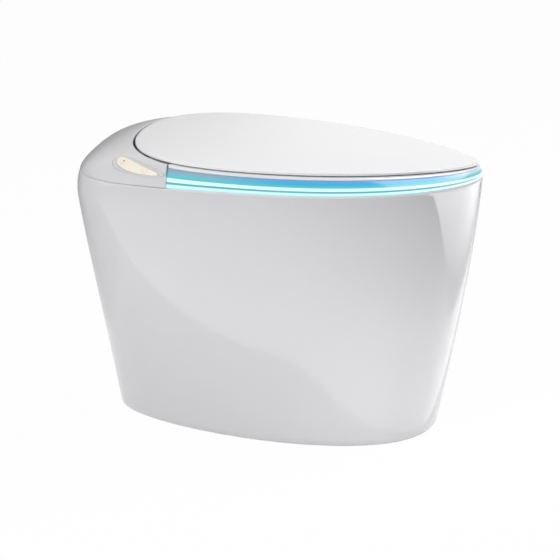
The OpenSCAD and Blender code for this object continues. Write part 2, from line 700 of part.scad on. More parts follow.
module power_supply() {
    color([0.7, 0.72, 0.74])
    translate([0, 0, well_z]) difference() {
        case([psu_x[0], psu_y[0]], [psu_x[1], psu_y[1]], 34, 2);
        for (y = [psu_y[0] + 8:6:psu_y[1] - 8])
            translate([psu_x[0] + 6, y, 30]) cube([psu_x[1] - psu_x[0] - 12, 3, 6]);
    }
}
module control_board() {
    z = well_z + 34 + fit;
    color([0.1, 0.4, 0.25])
    union() {
        translate([psu_x[0], psu_y[0] + 2, z + 8]) cube([psu_x[1] - psu_x[0], psu_y[1] - psu_y[0] - 4, 1.6]);
        for (x = [psu_x[0] + 4, psu_x[1] - 4], y = [psu_y[0] + 6, psu_y[1] - 6])
            translate([x, y, z]) cylinder(h = 8.1, r = 2.5);
        translate([psu_x[0] + 10, psu_y[0] + 12, z + 9.5]) cube([14, 14, 2]);
        translate([psu_x[0] + 8, psu_y[1] - 20, z + 9.5]) cube([24, 8, 9]);
        translate([psu_x[1] - 12, psu_y[0] + 18, z + 9.5]) cube([6, 12, 6]);
        for (y = [psu_y[0] + 32, psu_y[0] + 42]) translate([psu_x[1] - 10, y, z + 9.5]) cylinder(h = 10, r = 3.5);
    }
}

// Dryer
fan_at = [-205, 84];
fan_z = rim_z - 62;
fan_h = 34;
scroll_r = 38;
module at_fan() {
    translate([fan_at[0], fan_at[1], fan_z]) children();
}
module dryer_housing() {
    x1 = flange_x - 7;
    color([0.9, 0.9, 0.9])
    difference() {
        union() {
            at_fan() cylinder(h = fan_h, r = scroll_r, $fn = 48);
            translate([fan_at[0], duct_y[0], duct_z[0]])
                cube([x1 - fan_at[0], duct_y[1] - duct_y[0], duct_z[1] - duct_z[0]]);
            for (a = [60, 180, 300]) translate([fan_at[0] + 34 * cos(a), fan_at[1] + 34 * sin(a), well_z])
                cylinder(h = fan_z - well_z + 4, r = 4);
        }
        at_fan() {
            translate([0, 0, 2]) cylinder(h = fan_h - 4, r = scroll_r - 2.5, $fn = 48);
            translate([0, 0, -1]) cylinder(h = 4, r = 20);
            translate([0, 0, fan_h - 3]) cylinder(h = 4, r = 3);
        }
        translate([fan_at[0], duct_y[0] + 2, duct_z[0] + 2])
            cube([x1 - fan_at[0] + 1, duct_y[1] - duct_y[0] - 4, duct_z[1] - duct_z[0] - 4]);
    }
}
module dryer_impeller() {
    color([0.35, 0.36, 0.38])
    at_fan() difference() {
        union() {
            translate([0, 0, 27]) cylinder(h = 2, r = 29, $fn = 48);
            translate([0, 0, 6]) cylinder(h = 22, r = 6);
            for (i = [0:13]) rotate([0, 0, i * 360 / 14]) translate([21, -0.7, 5]) rotate([0, 0, 25])
                cube([8, 1.4, 22.5]);
        }
        translate([0, 0, 5]) cylinder(h = 30, r = 1.9 + run / 2);
    }
}
module dryer_motor() {
    color([0.6, 0.61, 0.63])
    at_fan() {
        translate([0, 0, fan_h + fit]) cylinder(h = 22, r = 14);
        translate([0, 0, 8]) cylinder(h = fan_h - 6, r = 1.9);
        translate([0, 0, fan_h + fit]) cylinder(h = 2, r = 19);
    }
}
duct_end_x = -84;
module dryer_duct() {
    x0 = flange_x - 7 + fit;
    color([0.9, 0.9, 0.9])
    difference() {
        translate([x0, duct_y[0], duct_z[0]])
            cube([duct_end_x - x0, duct_y[1] - duct_y[0], duct_z[1] - duct_z[0]]);
        translate([x0 - 1, duct_y[0] + 2, duct_z[0] + 2])
            cube([duct_end_x - x0 + 2, duct_y[1] - duct_y[0] - 4, duct_z[1] - duct_z[0] - 4]);
    }
}
module dryer_grille() {
    w = duct_y[1] - duct_y[0] - 4 - 2 * fit;
    h = duct_z[1] - duct_z[0] - 4 - 2 * fit;
    color([0.85, 0.86, 0.87])
    translate([duct_end_x - 5, duct_y[0] + 2 + fit, duct_z[0] + 2 + fit]) difference() {
        cube([4, w, h]);
        for (i = [0:3]) translate([-1, 1.5, 1.5 + i * (h - 1.5) / 4]) cube([6, w - 3, (h - 1.5) / 4 - 1.5]);
    }
}

// Wash nozzle, in its own tilted frame: x along the wand, z across it
wand_tip = -34.5;
gear_u = -80;
rack_w = wand_r + 2.2;
gear_w = rack_w + gear_m * gear_teeth / 2;
door_w = 22;
door_u = 1.75;
module at_nozzle() {
    translate([-nozzle_x, 0, nozzle_z]) rotate([0, nozzle_tilt, 0]) children();
}
module along(u, v, w, length, r) {
    translate([u, v, w]) rotate([0, 90, 0]) cylinder(h = length, r = r);
}
module cross_rod(u, w, v0, v1, r) {
    translate([u, v0, w]) rotate([-90, 0, 0]) cylinder(h = v1 - v0, r = r, $fn = 24);
}
module nozzle_housing() {
    color([0.88, 0.89, 0.9])
    difference() {
        union() {
            at_nozzle() {
                translate([-150, -17, -13]) cube([150, 34, 26]);
                translate([-8, -23.6, 9]) cube([7.6, 47.2, 4]);
                for (s = [-23.6, 20.6]) translate([-8, s, 9]) cube([12.5, 3, 16]);
            }
            translate([0, 13, 0]) rotate([90, 0, 0]) linear_extrude(26)
                polygon([[-235, well_z], [-168, well_z], [-168, nozzle_z + 8], [-235, nozzle_z + 22]]);
        }
        at_nozzle() {
            along(-152, 0, 0, 154, wand_r + run);
            translate([-152, -3.4, 0]) cube([154, 6.8, 15]);
            cross_rod(door_u, door_w, -30, 30, 1.3);
        }
    }
}
function rack_profile(u0, u1) = let (p = PI * gear_m, n = floor((u1 - u0) / p) - 1)
    concat([[u0, rack_w - 3.2], [u0, rack_w - 1.25 * gear_m]],
        [for (k = [0:n]) let (c = gear_u - (floor((gear_u - u0) / p) - 0.5) * p + k * p)
            each [[c - 1.18 * gear_m, rack_w - 1.25 * gear_m], [c - 0.36 * gear_m, rack_w + gear_m],
                [c + 0.36 * gear_m, rack_w + gear_m], [c + 1.18 * gear_m, rack_w - 1.25 * gear_m]]],
        [[u1, rack_w - 1.25 * gear_m], [u1, rack_w - 3.2]]);
module nozzle_wand() {
    color([0.93, 0.94, 0.95])
    at_nozzle() difference() {
        union() {
            along(wand_tip - wand_l, 0, 0, wand_l - 14, wand_r);
            translate([0, 3, 0]) rotate([90, 0, 0]) linear_extrude(6)
                polygon(rack_profile(wand_tip - wand_l, wand_tip - 34));
        }
        along(wand_tip - wand_l - 1, 0, 0, wand_l + 1, 3);
    }
}
module nozzle_tip() {
    color([0.8, 0.82, 0.84])
    at_nozzle() difference() {
        union() {
            along(wand_tip - 13.8, 0, 0, 13.8 - wand_r, wand_r);
            intersection() {
                translate([wand_tip - wand_r, 0, 0]) sphere(wand_r);
                along(wand_tip - 13.8, 0, 0, 20, wand_r + 1);
            }
            along(wand_tip - 22, 0, 0, 9, 2.8);
        }
        along(wand_tip - 23, 0, 0, 14, 1.5);
        translate([wand_tip - 10, 0, 0]) cylinder(h = 10, r = 1.2);
    }
}
function roll(r, rb) = let (a = sqrt(max(0, pow(r / rb, 2) - 1))) a * 180 / PI - atan(a);
function gear_profile(m, z) = let (rp = m * z / 2, rb = rp * cos(20), ra = rp + m, rr = rp - 1.25 * m,
    half_deg = 90 / z - 0.4, radii = [rb, rp - 0.1 * m, rp + 0.45 * m, ra])
    [for (k = [0:z - 1]) let (c = 360 * k / z - 90) each concat(
        [rr * [cos(c - half_deg - 1.2), sin(c - half_deg - 1.2)]],
        [for (r = radii) let (h = half_deg + roll(rp, rb) - roll(r, rb)) r * [cos(c - h), sin(c - h)]],
        [for (i = [3:-1:0]) let (r = radii[i], h = half_deg + roll(rp, rb) - roll(r, rb))
            r * [cos(c + h), sin(c + h)]],
        [rr * [cos(c + half_deg + 1.2), sin(c + half_deg + 1.2)]])];
module drive_gear() {
    color([0.9, 0.88, 0.8])
    at_nozzle() union() {
        translate([gear_u, 3, gear_w]) rotate([90, 0, 0]) linear_extrude(6)
            polygon(gear_profile(gear_m, gear_teeth));
        cross_rod(gear_u, gear_w, 2.5, 26, 2);
    }
}
module nozzle_motor() {
    color([0.6, 0.61, 0.63])
    at_nozzle() difference() {
        union() {
            cross_rod(gear_u, gear_w, 18, 34, 11);
            translate([gear_u - 14, 17.1, 3]) cube([28, 1.2, gear_w + 8]);
        }
        cross_rod(gear_u, gear_w, 16, 27, 2 + run);
    }
}
module nozzle_door() {
    color([0.93, 0.94, 0.95])
    at_nozzle() difference() {
        union() {
            translate([0.6, -20, -14]) cube([2.2, 40, door_w + 14]);
            cross_rod(door_u, door_w, -20, 20, 2.6);
        }
        cross_rod(door_u, door_w, -21, 21, 1.1 + run);
    }
}
module door_pin() {
    color([0.78, 0.79, 0.81]) at_nozzle() cross_rod(door_u, door_w, -24.5, 24.5, 1.1);
}

// Flushing parts, hung under the chassis
hang_z = well_floor_z - tray_t - fit;
pump_at = [-200, -55];
valve_x = [-149.7, -121.7];
pump_out_z = 276;
tank_y0 = 8;
tank_y1 = 98;
tank_x = [-246, -152];
tank_low_z = 200;
tank_t = 4;
module booster_tank() {
    color([0.85, 0.86, 0.88])
    difference() {
        union() {
            translate([0, 0, tank_low_z]) case([tank_x[0], tank_y0], [tank_x[1], tank_y1], hang_z - tank_low_z, 14);
            for (z = [tank_low_z + 25:30:hang_z - 30]) translate([0, 0, z])
                case([tank_x[0] - 2, tank_y0 - 2], [tank_x[1] + 2, tank_y1 + 2], 4, 14);
        }
        translate([0, 0, tank_low_z + tank_t])
            case([tank_x[0] + tank_t, tank_y0 + tank_t], [tank_x[1] - tank_t, tank_y1 - tank_t],
                hang_z - tank_low_z - 2 * tank_t, 11);
    }
}
module flush_pump() {
    color([0.3, 0.32, 0.35])
    translate([pump_at[0], pump_at[1], 0]) {
        translate([0, 0, 262]) cylinder(h = 28, r = 30);
        translate([0, 0, 290]) cylinder(h = hang_z - 290, r = 25);
        for (z = [300:8:340]) translate([0, 0, z]) cylinder(h = 3, r = 27);
        rod([0, -20, pump_out_z], [valve_x[0] - fit - pump_at[0], -20, pump_out_z], 9);
        rod([0, 20, pump_out_z], [0, tank_y0 - fit - pump_at[1], pump_out_z], 9);
    }
}
module flush_valve() {
    color([0.88, 0.88, 0.86])
    difference() {
        union() {
            translate([0, 0, pump_out_z - 15]) case([valve_x[0], -jet_y - 16], [valve_x[1], -jet_y + 16], 30, 4);
            rod([valve_x[0] + 14, -jet_y - 16, pump_out_z], [valve_x[0] + 14, -jet_y - 34, pump_out_z], 10);
        }
        rod([valve_x[0] - 1, -jet_y, pump_out_z], [valve_x[1] + 1, -jet_y, pump_out_z], 6);
        rod([valve_x[0] + 14, -jet_y, pump_out_z], [valve_x[0] + 14, -jet_y, pump_out_z + 16], 6);
    }
}
pipe_bend = 18;
module rim_pipe() {
    x = valve_x[0] + 14;
    z0 = pump_out_z + 15 + fit;
    color([0.8, 0.81, 0.83])
    union() {
        rod([x, -jet_y, z0], [x, -jet_y, rim_inlet_z - pipe_bend], pipe_r - fit);
        translate([x + pipe_bend, -jet_y, rim_inlet_z - pipe_bend]) rotate([90, 0, 0]) rotate([0, 0, 90])
            rotate_extrude(angle = 90) translate([pipe_bend, 0]) circle(pipe_r - fit);
        rod([x + pipe_bend, -jet_y, rim_inlet_z], [-72, -jet_y, rim_inlet_z], pipe_r - fit);
    }
}
module jet_pipe() {
    x1 = -96;
    color([0.8, 0.81, 0.83])
    union() {
        rod([valve_x[1] + fit, -jet_y, pump_out_z], [x1 - pipe_bend, -jet_y, pump_out_z], pipe_r - fit);
        translate([x1 - pipe_bend, -jet_y, pump_out_z - pipe_bend]) rotate([90, 0, 0])
            rotate_extrude(angle = 90) translate([pipe_bend, 0]) circle(pipe_r - fit);
        rod([x1, -jet_y, pump_out_z - pipe_bend], [x1, -jet_y, passage_z + pipe_bend], pipe_r - fit);
        translate([x1 + pipe_bend, -jet_y, passage_z + pipe_bend]) rotate([90, 0, 0]) rotate([0, 0, 180])
            rotate_extrude(angle = 90) translate([pipe_bend, 0]) circle(pipe_r - fit);
        rod([x1 + pipe_bend, -jet_y, passage_z], [sump_x - pipe_bend, -jet_y, passage_z], pipe_r - fit);
        translate([sump_x - pipe_bend, -jet_y + pipe_bend, passage_z]) rotate([0, 0, -90])
            rotate_extrude(angle = 90) translate([pipe_bend, 0]) circle(pipe_r - fit);
        rod([sump_x, -jet_y + pipe_bend, passage_z], [sump_x, -sump_r - 4, passage_z], pipe_r - fit);
    }
}

// Seat
seat_x = cut_x - cut_gap / 2;
seat_z = rim_z + seat_lift;
shell_z = rim_z + 2.6;
cut_rim_t = solve_t(rim_rear, -seat_x);
cut_lid_t = solve_t(lid_rear, -seat_x);
front_n = 15;
side_n = 4;
chord_n = 5;
function seat_top(x) = lid_low(x) - lid_gap;
function seat_at(x, s) = seat_z + s * (seat_top(x) - seat_z);
function curve_pt(rear, front, cut_t, i, d) = i <= front_n ? inset_pt(front, 1 - i / front_n, d)
    : inset_pt(rear, mix(cut_t, 1, (front_n + side_n - i) / side_n), d);
// The side leans from the rim's outline at s = 0 to the lid's at s = 1; d is the depth from the rim
function side_pt(i, d, s) = let (k = d - lid_inset * s,
    p = mix(curve_pt(rim_rear, rim_front, cut_rim_t, i, k), curve_pt(lid_rear, lid_front, cut_lid_t, i, k), s))
    i < front_n + side_n ? p : [-seat_x, p[1]];
function seat_half(d, c, s) = let (end = side_pt(front_n + side_n, d, s)) concat(
    [for (i = [0:front_n + side_n - 1]) side_pt(i, d, s)],
    [for (k = [0:chord_n]) [c - seat_x, end[1] * (1 - k / chord_n)]]);
function open_ring(d) = oval(open_x, open_half_l + d, open_half_w + d);
// Rings of the seat: on its side at inset d and share s of its height, or across it at q
function on_side(d, c, s) = [for (p = ring(seat_half(d, c, s))) [p[0], p[1], seat_at(p[0], s)]];
function on_side_z(d, c, z) = lift(ring(seat_half(d, c, 0.07)), z);
function on_side_down(d, c, h) = [for (p = ring(seat_half(d, c, 1))) [p[0], p[1], seat_top(p[0]) - h]];
function over(q, h) = let (a = ring(seat_half(lid_inset, 0, 1)), b = open_ring(0))
    [for (i = [0:len(a) - 1]) let (p = mix(a[i], b[i], q)) [p[0], p[1], seat_top(p[0]) - h]];
function at_open(d, h) = [for (p = open_ring(d)) [p[0], p[1], seat_top(p[0]) - h]];

module seat_top_shell() {
    color([0.97, 0.97, 0.98])
    skin([on_side(6.4, 0, 0.825), on_side(5.4, 0, 0.87), on_side(5.6, 0, 0.93), on_side(7, 0.4, 0.98),
        on_side(9.5, 2, 1), over(0.3, 0), over(0.68, 1), over(0.93, 4), at_open(0, 8),
        lift(open_ring(0), rim_z + 11), lift(open_ring(3), rim_z + 11), at_open(3, 9), over(0.68, 4.5),
        over(0.3, 2.8), on_side_down(band_depth + 0.5, 3.3, 3), on_side(band_depth + 0.5, 3.3, 0.825)],
        loop = true);
}
module seat_base_shell() {
    arm_z = [rim_z + 11, rim_z + 27];
    arm_x = hinge_x - 17;
    color([0.93, 0.94, 0.95])
    difference() {
        union() {
            skin([on_side_z(band_depth + 1.2, 0.4, shell_z), on_side(band_depth + 1.2, 0.4, 0.42),
                on_side(band_depth + 1.2, 0.4, 0.8), on_side(band_depth + 4.2, 3.7, 0.8),
                on_side(band_depth + 4.2, 3.7, 0.42), on_side_z(band_depth + 4.2, 3.7, shell_z + 3),
                lift(open_ring(6), shell_z + 3), lift(open_ring(6), rim_z + 9),
                lift(open_ring(0.2), rim_z + 10.7), lift(open_ring(0), shell_z + 2),
                lift(open_ring(2), shell_z)], loop = true);
            translate([-arm_x, -80, arm_z[0]]) cube([arm_x - seat_x + 2, 160, arm_z[1] - arm_z[0]]);
            both_sides() {
                plate(eye_seat_y, [[-arm_x + 8, arm_z[0]], [-arm_x + 8, arm_z[1]], [-arm_x + 2, hinge_z - 5],
                    [-hinge_x + 3, hinge_z - 1.2], [-hinge_x + 0.6, hinge_z - eye_r], [-hinge_x + 7, hinge_z - 14],
                    [-arm_x, arm_z[0]]]);
                across(eye_seat_y, eye_r);
            }
        }
        both_sides() across([eye_seat_y[0] - 1, eye_seat_y[1] + 1], pin_r + bush_t + run / 2);
    }
}
module seat_heater_foil() {
    color([0.85, 0.6, 0.25])
    skin([over(0.3, 3.1), over(0.3, 3.7), over(0.68, 5.4), over(0.68, 4.8)], loop = true, flip = true);
}
// Piece that runs round the seat's side from cut to cut, with the given section of [inset, share]
module side_run(section) {
    last = front_n + side_n;
    stations = [for (j = [0:2 * last]) let (i = abs(last - j), s = j < last ? 1 : -1)
        [for (c = section) let (p = side_pt(i, c[0], c[1])) [p[0], s * p[1], seat_at(p[0], c[1])]]];
    skin(stations);
}
module light_band() {
    color([0.25, 0.65, 0.9])
    side_run([[1.4, 0.44], [2, 0.54], [3.4, 0.68], [5.4, 0.815], [band_depth, 0.815], [band_depth, 0.44]]);
}
module light_guide() {
    color([0.8, 1, 1])
    side_run([[0.6, 0.01], [0, 0.04], [0, 0.12], [0.5, 0.145], [2.4, 0.155], [2.4, 0.25], [0.6, 0.262],
        [0.2, 0.29], [0.4, 0.39], [1.2, 0.428], [band_depth - 1, 0.428], [band_depth - 1, 0.4],
        [band_depth - 1, 0.08], [band_depth - 1, 0.01]]);
}
module led_strip() {
    color([0.95, 0.95, 0.8])
    side_run([[band_depth, 0.08], [band_depth, 0.4], [band_depth + 0.8, 0.4],
        [band_depth + 0.8, 0.08]]);
}
module seat_bumpers() {
    color([0.75, 0.76, 0.78])
    both_sides() for (p = [side_pt(5, 24, 0), side_pt(16, 26, 0)])
        translate([p[0], p[1], rim_z]) cylinder(h = shell_z - rim_z, r = 7.5);
}

// Lid
function lid_ring(d, h) = [for (p = ring(half(lid_rear, lid_front, d))) [p[0], p[1], lid_low(p[0]) + h]];
// Ring of the lid drawn in to share q of the way to the middle
function lid_in(q, h) = let (c = [40, 0]) [for (p = ring(half(lid_rear, lid_front, 0)))
    let (r = mix(p, c, q)) [r[0], r[1], lid_low(r[0]) + h]];
module lid_shell() {
    t = lid_edge;
    color([0.96, 0.96, 0.97])
    difference() {
        lid_form(t);
        both_sides() across([hook_y[0][0] - 1, pin_end_y + 1], eye_r + fit);
    }
}
module lid_form(t) {
    skin([lid_in(0.8, t + lid_crown - 3), lid_in(0.5, t + lid_crown * 0.8 - 3), lid_in(0.2, t + lid_crown * 0.4 - 2.6),
        lid_ring(3.5, t - 2.2), lid_ring(3.5, 0), lid_ring(0.6, 0), lid_ring(0, 0.8), lid_ring(0, t - 1.2),
        lid_ring(1.2, t), lid_in(0.2, t + lid_crown * 0.4), lid_in(0.5, t + lid_crown * 0.8),
        lid_in(0.8, t + lid_crown)]);
}
module lid_liner() {
    color([0.9, 0.91, 0.92])
    difference() {
        union() {
            skin([lid_ring(3.8, 0.4), lid_ring(3.8, 2)]);
            both_sides() across(eye_lid_y, eye_r);
        }
        both_sides() across([eye_lid_y[0] - 1, eye_lid_y[1] + 1], pin_r + bush_t + run / 2);
        eye_channel();
    }
}
module lid_bumpers() {
    color([0.75, 0.76, 0.78])
    both_sides() for (p = [inset_pt(lid_front, 0.5, 18), inset_pt(lid_rear, 1, 16)])
        translate([p[0], p[1], lid_low(p[0])]) rotate([0, atan(lid_fall), 0])
            translate([0, 0, fit - lid_gap]) cylinder(h = lid_gap - 0.2, r = 5);
}

ceramic_pan();
ceramic_bowl();
trapway();
outlet_leg();
outlet_gasket();
top_unit_chassis();
chassis_bolts();
rear_cover();
cover_screws();
control_bezel();
control_panel();
flush_key();
wash_key();
key_switches();
hinge_brackets();
seat_damper();
lid_damper();
hinge_pins();
water_heater();
inlet_valve();
diverter_valve();
air_pump();
deodorizer_filter();
supply_hose();
heater_hose();
inlet_fitting();
inlet_filter();
power_gland();
power_supply();
control_board();
dryer_housing();
dryer_impeller();
dryer_motor();
dryer_duct();
dryer_grille();
nozzle_housing();
nozzle_wand();
nozzle_tip();
drive_gear();
nozzle_motor();
nozzle_door();
door_pin();
flush_pump();
booster_tank();
flush_valve();
rim_pipe();
jet_pipe();
seat_top_shell();
seat_base_shell();
seat_heater_foil();
light_band();
light_guide();
led_strip();
seat_bumpers();
seat_hinge_bushes();
lid_shell();
lid_liner();
lid_bumpers();
lid_hinge_bushes();
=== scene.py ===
import json
import math

import bpy
import numpy as np
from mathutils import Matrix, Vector


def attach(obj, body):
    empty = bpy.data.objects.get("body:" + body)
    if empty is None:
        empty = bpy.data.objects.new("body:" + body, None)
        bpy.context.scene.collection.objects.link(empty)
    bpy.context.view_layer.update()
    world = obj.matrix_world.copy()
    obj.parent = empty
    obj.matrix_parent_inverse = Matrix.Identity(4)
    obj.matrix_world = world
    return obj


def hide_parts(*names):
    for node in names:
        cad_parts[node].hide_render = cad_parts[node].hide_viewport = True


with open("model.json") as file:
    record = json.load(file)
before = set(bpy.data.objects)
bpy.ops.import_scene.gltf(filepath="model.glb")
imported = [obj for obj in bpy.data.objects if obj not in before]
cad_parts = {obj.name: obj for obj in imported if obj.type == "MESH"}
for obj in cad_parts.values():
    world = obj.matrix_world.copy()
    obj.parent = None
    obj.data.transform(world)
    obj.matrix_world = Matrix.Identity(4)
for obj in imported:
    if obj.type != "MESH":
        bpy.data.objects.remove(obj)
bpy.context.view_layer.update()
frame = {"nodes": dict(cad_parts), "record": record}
node = frame["nodes"]
MM = 0.001

# The studio. The toilet stands on a white floor in front of a white ground, seen from
# its right side a little from the front and from above, with large soft lights.
view_azimuth = math.radians(12.41)
view_elevation = math.radians(17.5)
view_target = Vector((-2.4, 0, 232.1)) * MM
view_distance = 4498 * MM
lens_mm = 171.96
towards_camera = Vector((
    math.sin(view_azimuth) * math.cos(view_elevation),
    -math.cos(view_azimuth) * math.cos(view_elevation),
    math.sin(view_elevation),
))
camera = bpy.data.objects.new("camera", bpy.data.cameras.new("camera"))
camera.data.sensor_width = 36
camera.data.lens = lens_mm
camera.location = view_target + towards_camera * view_distance
camera.rotation_mode = "QUATERNION"
camera.rotation_quaternion = (-towards_camera).to_track_quat("-Z", "Y")
camera.data.clip_end = 50
bpy.context.scene.collection.objects.link(camera)
bpy.context.scene.camera = camera
bpy.context.scene.view_settings.view_transform = "Standard"


def new_material(name):
    """Empty node material: returns it with its tree's node and link makers."""
    material = bpy.data.materials.new(name)
    material.use_nodes = True
    material.node_tree.nodes.clear()
    return material, material.node_tree.nodes, material.node_tree.links


def make(nodes, kind, **settings):
    """New shader node. A setting in lower case is one of the node's own, and any other is
    the value of the input of that name, with _ for a space."""
    made = nodes.new("ShaderNode" + kind)
    for name, value in settings.items():
        if name.islower():
            setattr(made, name, value)
        else:
            made.inputs[name.replace("_", " ")].default_value = value
    return made


def wire(links, *pairs):
    """Joins each output to the input beside it."""
    for source, sink in pairs:
        links.new(source, sink)


def fill_ramp(ramp, stops):
    """Sets a colour ramp's stops, each a place and a colour."""
    while len(ramp.color_ramp.elements) < len(stops):
        ramp.color_ramp.elements.new(0.5)
    for element, (place, colour) in zip(ramp.color_ramp.elements, stops):
        element.position = place
        element.color = (*colour, 1)


def soft_light(name, place, size, power, aim=(0, 0, 0.25), mirrored=True):
    """Rectangular area light at a place, turned to the aim point. One that is not mirrored
    leaves no highlight."""
    data = bpy.data.lights.new(name, "AREA")
    data.shape = "RECTANGLE"
    data.size, data.size_y = size
    data.energy = power
    light = bpy.data.objects.new(name, data)
    light.location = place
    light.rotation_mode = "QUATERNION"
    light.rotation_quaternion = (Vector(aim) - Vector(place)).to_track_quat("-Z", "Y")
    light.visible_glossy = mirrored
    bpy.context.scene.collection.objects.link(light)


soft_light("key_light", (-1.55, -2.68, 2.3), (2.0, 2.0), 75, mirrored=False)
soft_light("nose_light", (2.6, 1.9, 0.55), (1.2, 1.0), 30, mirrored=False)
soft_light("low_light", (0.44, -0.37, 0.04), (0.3, 0.06), 0.28, (0.2, -0.1, 0.04), mirrored=False)
soft_light("top_light", (0.9, 0.5, 1.9), (1.2, 1.0), 16)


def mirrored_sheet(name, points, faces):
    """Glowing sheet that shows only in glossy surfaces. Returns what its material's nodes
    need: their makers, the place on the sheet and the glow."""
    mesh = bpy.data.meshes.new(name)
    mesh.from_pydata(points, [], faces)
    sheet = bpy.data.objects.new(name, mesh)
    bpy.context.scene.collection.objects.link(sheet)
    for way in ("camera", "diffuse", "transmission", "volume_scatter", "shadow"):
        setattr(sheet, "visible_" + way, False)
    material, nodes, links = new_material(name + "_glow")
    mesh.materials.append(material)
    place = make(nodes, "TexCoord")
    glow = make(nodes, "Emission")
    wire(links, (glow.outputs[0], make(nodes, "OutputMaterial").inputs["Surface"]))
    return nodes, links, place.outputs["Object"], glow


# Bright sheet on the floor along the toilet's right side, which dims with the distance from
# it. Its near edge bends round the foot as the edge of the toilet's own shadow does:
# y = y0 + 3 x^1.6.
sheet_z, sheet_near_y, sheet_far_y = 0.004, -0.445, -2.4
sheet_rear_x, sheet_near_x, sheet_far_x = -1.5, 0.78, 2.4
n = 60
sheet_x = np.linspace(sheet_rear_x, sheet_near_x, n)
near_y = 3 * np.maximum(sheet_x, 0) ** 1.6 + sheet_near_y
sheet_near = np.column_stack([sheet_x, near_y, np.full(n, sheet_z)])
sheet_far = np.column_stack([np.linspace(sheet_rear_x, sheet_far_x, n), np.full(n, sheet_far_y),
                             np.full(n, sheet_z)])
nodes, links, place, glow = mirrored_sheet("floor_sheet", np.concatenate([sheet_near, sheet_far]).tolist(),
                                           [(n + i, n + i + 1, i + 1, i) for i in range(n - 1)])
distance = make(nodes, "VectorMath", operation="LENGTH")
fade = make(nodes, "MapRange", From_Min=0.65, From_Max=1.5, To_Min=1.8, To_Max=0.2)
wire(links, (place, distance.inputs[0]), (distance.outputs["Value"], fade.inputs["Value"]),
     (fade.outputs["Result"], glow.inputs["Strength"]))

# Sheet beside the nose, which gives the glaze its bright upright reflection there. Its
# glow is 1 + 3.4 fy fz, so it fades to the white of the room to the toilet's left and down.
nose_sheet_x, nose_sheet_low, nose_sheet_high = 0.62, 0.01, 0.4
nose_corners = [(nose_sheet_x, -0.37, nose_sheet_high), (nose_sheet_x, 0.136, nose_sheet_low),
                (nose_sheet_x, 0.6, nose_sheet_low), (nose_sheet_x, 0.6, nose_sheet_high)]
nodes, links, place, glow = mirrored_sheet("nose_sheet", nose_corners, [(0, 1, 2, 3)])
split = make(nodes, "SeparateXYZ")
fade_y = make(nodes, "MapRange", From_Min=0.2, From_Max=0.55, To_Min=1, To_Max=0)
fade_z = make(nodes, "MapRange", From_Min=0.1, From_Max=0.3)
product = make(nodes, "Math", operation="MULTIPLY")
level = make(nodes, "MapRange", To_Min=1, To_Max=4.4)
wire(links, (place, split.inputs[0]), (split.outputs["Y"], fade_y.inputs["Value"]),
     (split.outputs["Z"], fade_z.inputs["Value"]), (fade_y.outputs["Result"], product.inputs[0]),
     (fade_z.outputs["Result"], product.inputs[1]), (product.outputs[0], level.inputs["Value"]),
     (level.outputs["Result"], glow.inputs["Strength"]))

# Cove of floor and wall on the side away from the camera. Its level of white changes along
# x, darkest beyond the rear end, and fades upwards to the white of the room.
cove_near = [(-0.85, -0.9), (-0.52, 0.1), (-0.45, 0.4), (-0.3, 0.75), (0.3, 0.75), (0.8, 0.4), (1.0, 0.1)]
cove_foot = [(-3.0, -1.2), (-2.9, 0.3), (-2.3, 1.6), (-1.2, 2.3), (0.2, 2.5), (1.6, 2.3), (2.6, 1.2)]
cove_low, cove_high = 0.002, 2.2
cove_rows = [[(*p, z) for p in line]
             for line, z in ((cove_near, cove_low), (cove_foot, cove_low), (cove_foot, cove_high))]
n = len(cove_foot)
nodes, links, place, glow = mirrored_sheet(
    "grey_cove", sum(cove_rows, []), [(i, i + 1, i + n + 1, i + n) for i in range(2 * n) if (i + 1) % n])
split = make(nodes, "SeparateXYZ")
across = make(nodes, "MapRange", From_Min=-1.6, From_Max=1.6)
levels = make(nodes, "ValToRGB")
fill_ramp(levels, [(where, (white, white, white)) for where, white in (
    (0.0, 0.2), (0.19, 0.33), (0.3, 0.72), (0.37, 0.97), (0.56, 1.0), (0.69, 0.85), (1.0, 0.75))])
upward = make(nodes, "MapRange", From_Min=0.6, From_Max=2.1, To_Min=1, To_Max=0)
blend = make(nodes, "Mix", data_type="RGBA", A=(1, 1, 1, 1))
wire(links, (place, split.inputs[0]), (split.outputs["X"], across.inputs["Value"]),
     (split.outputs["Z"], upward.inputs["Value"]), (across.outputs["Result"], levels.inputs["Fac"]),
     (upward.outputs["Result"], blend.inputs["Factor"]), (levels.outputs["Color"], blend.inputs["B"]),
     (blend.outputs["Result"], glow.inputs["Color"]))


def ground_rays(nodes, links):
    """Output that is 1 for rays from the camera, from gloss and through glass."""
    rays = make(nodes, "LightPath")
    bounced = make(nodes, "Math", operation="MAXIMUM")
    seen = make(nodes, "Math", operation="MAXIMUM")
    wire(links, (rays.outputs["Is Glossy Ray"], bounced.inputs[0]),
         (rays.outputs["Is Transmission Ray"], bounced.inputs[1]),
         (rays.outputs["Is Camera Ray"], seen.inputs[0]), (bounced.outputs[0], seen.inputs[1]))
    return seen.outputs[0]


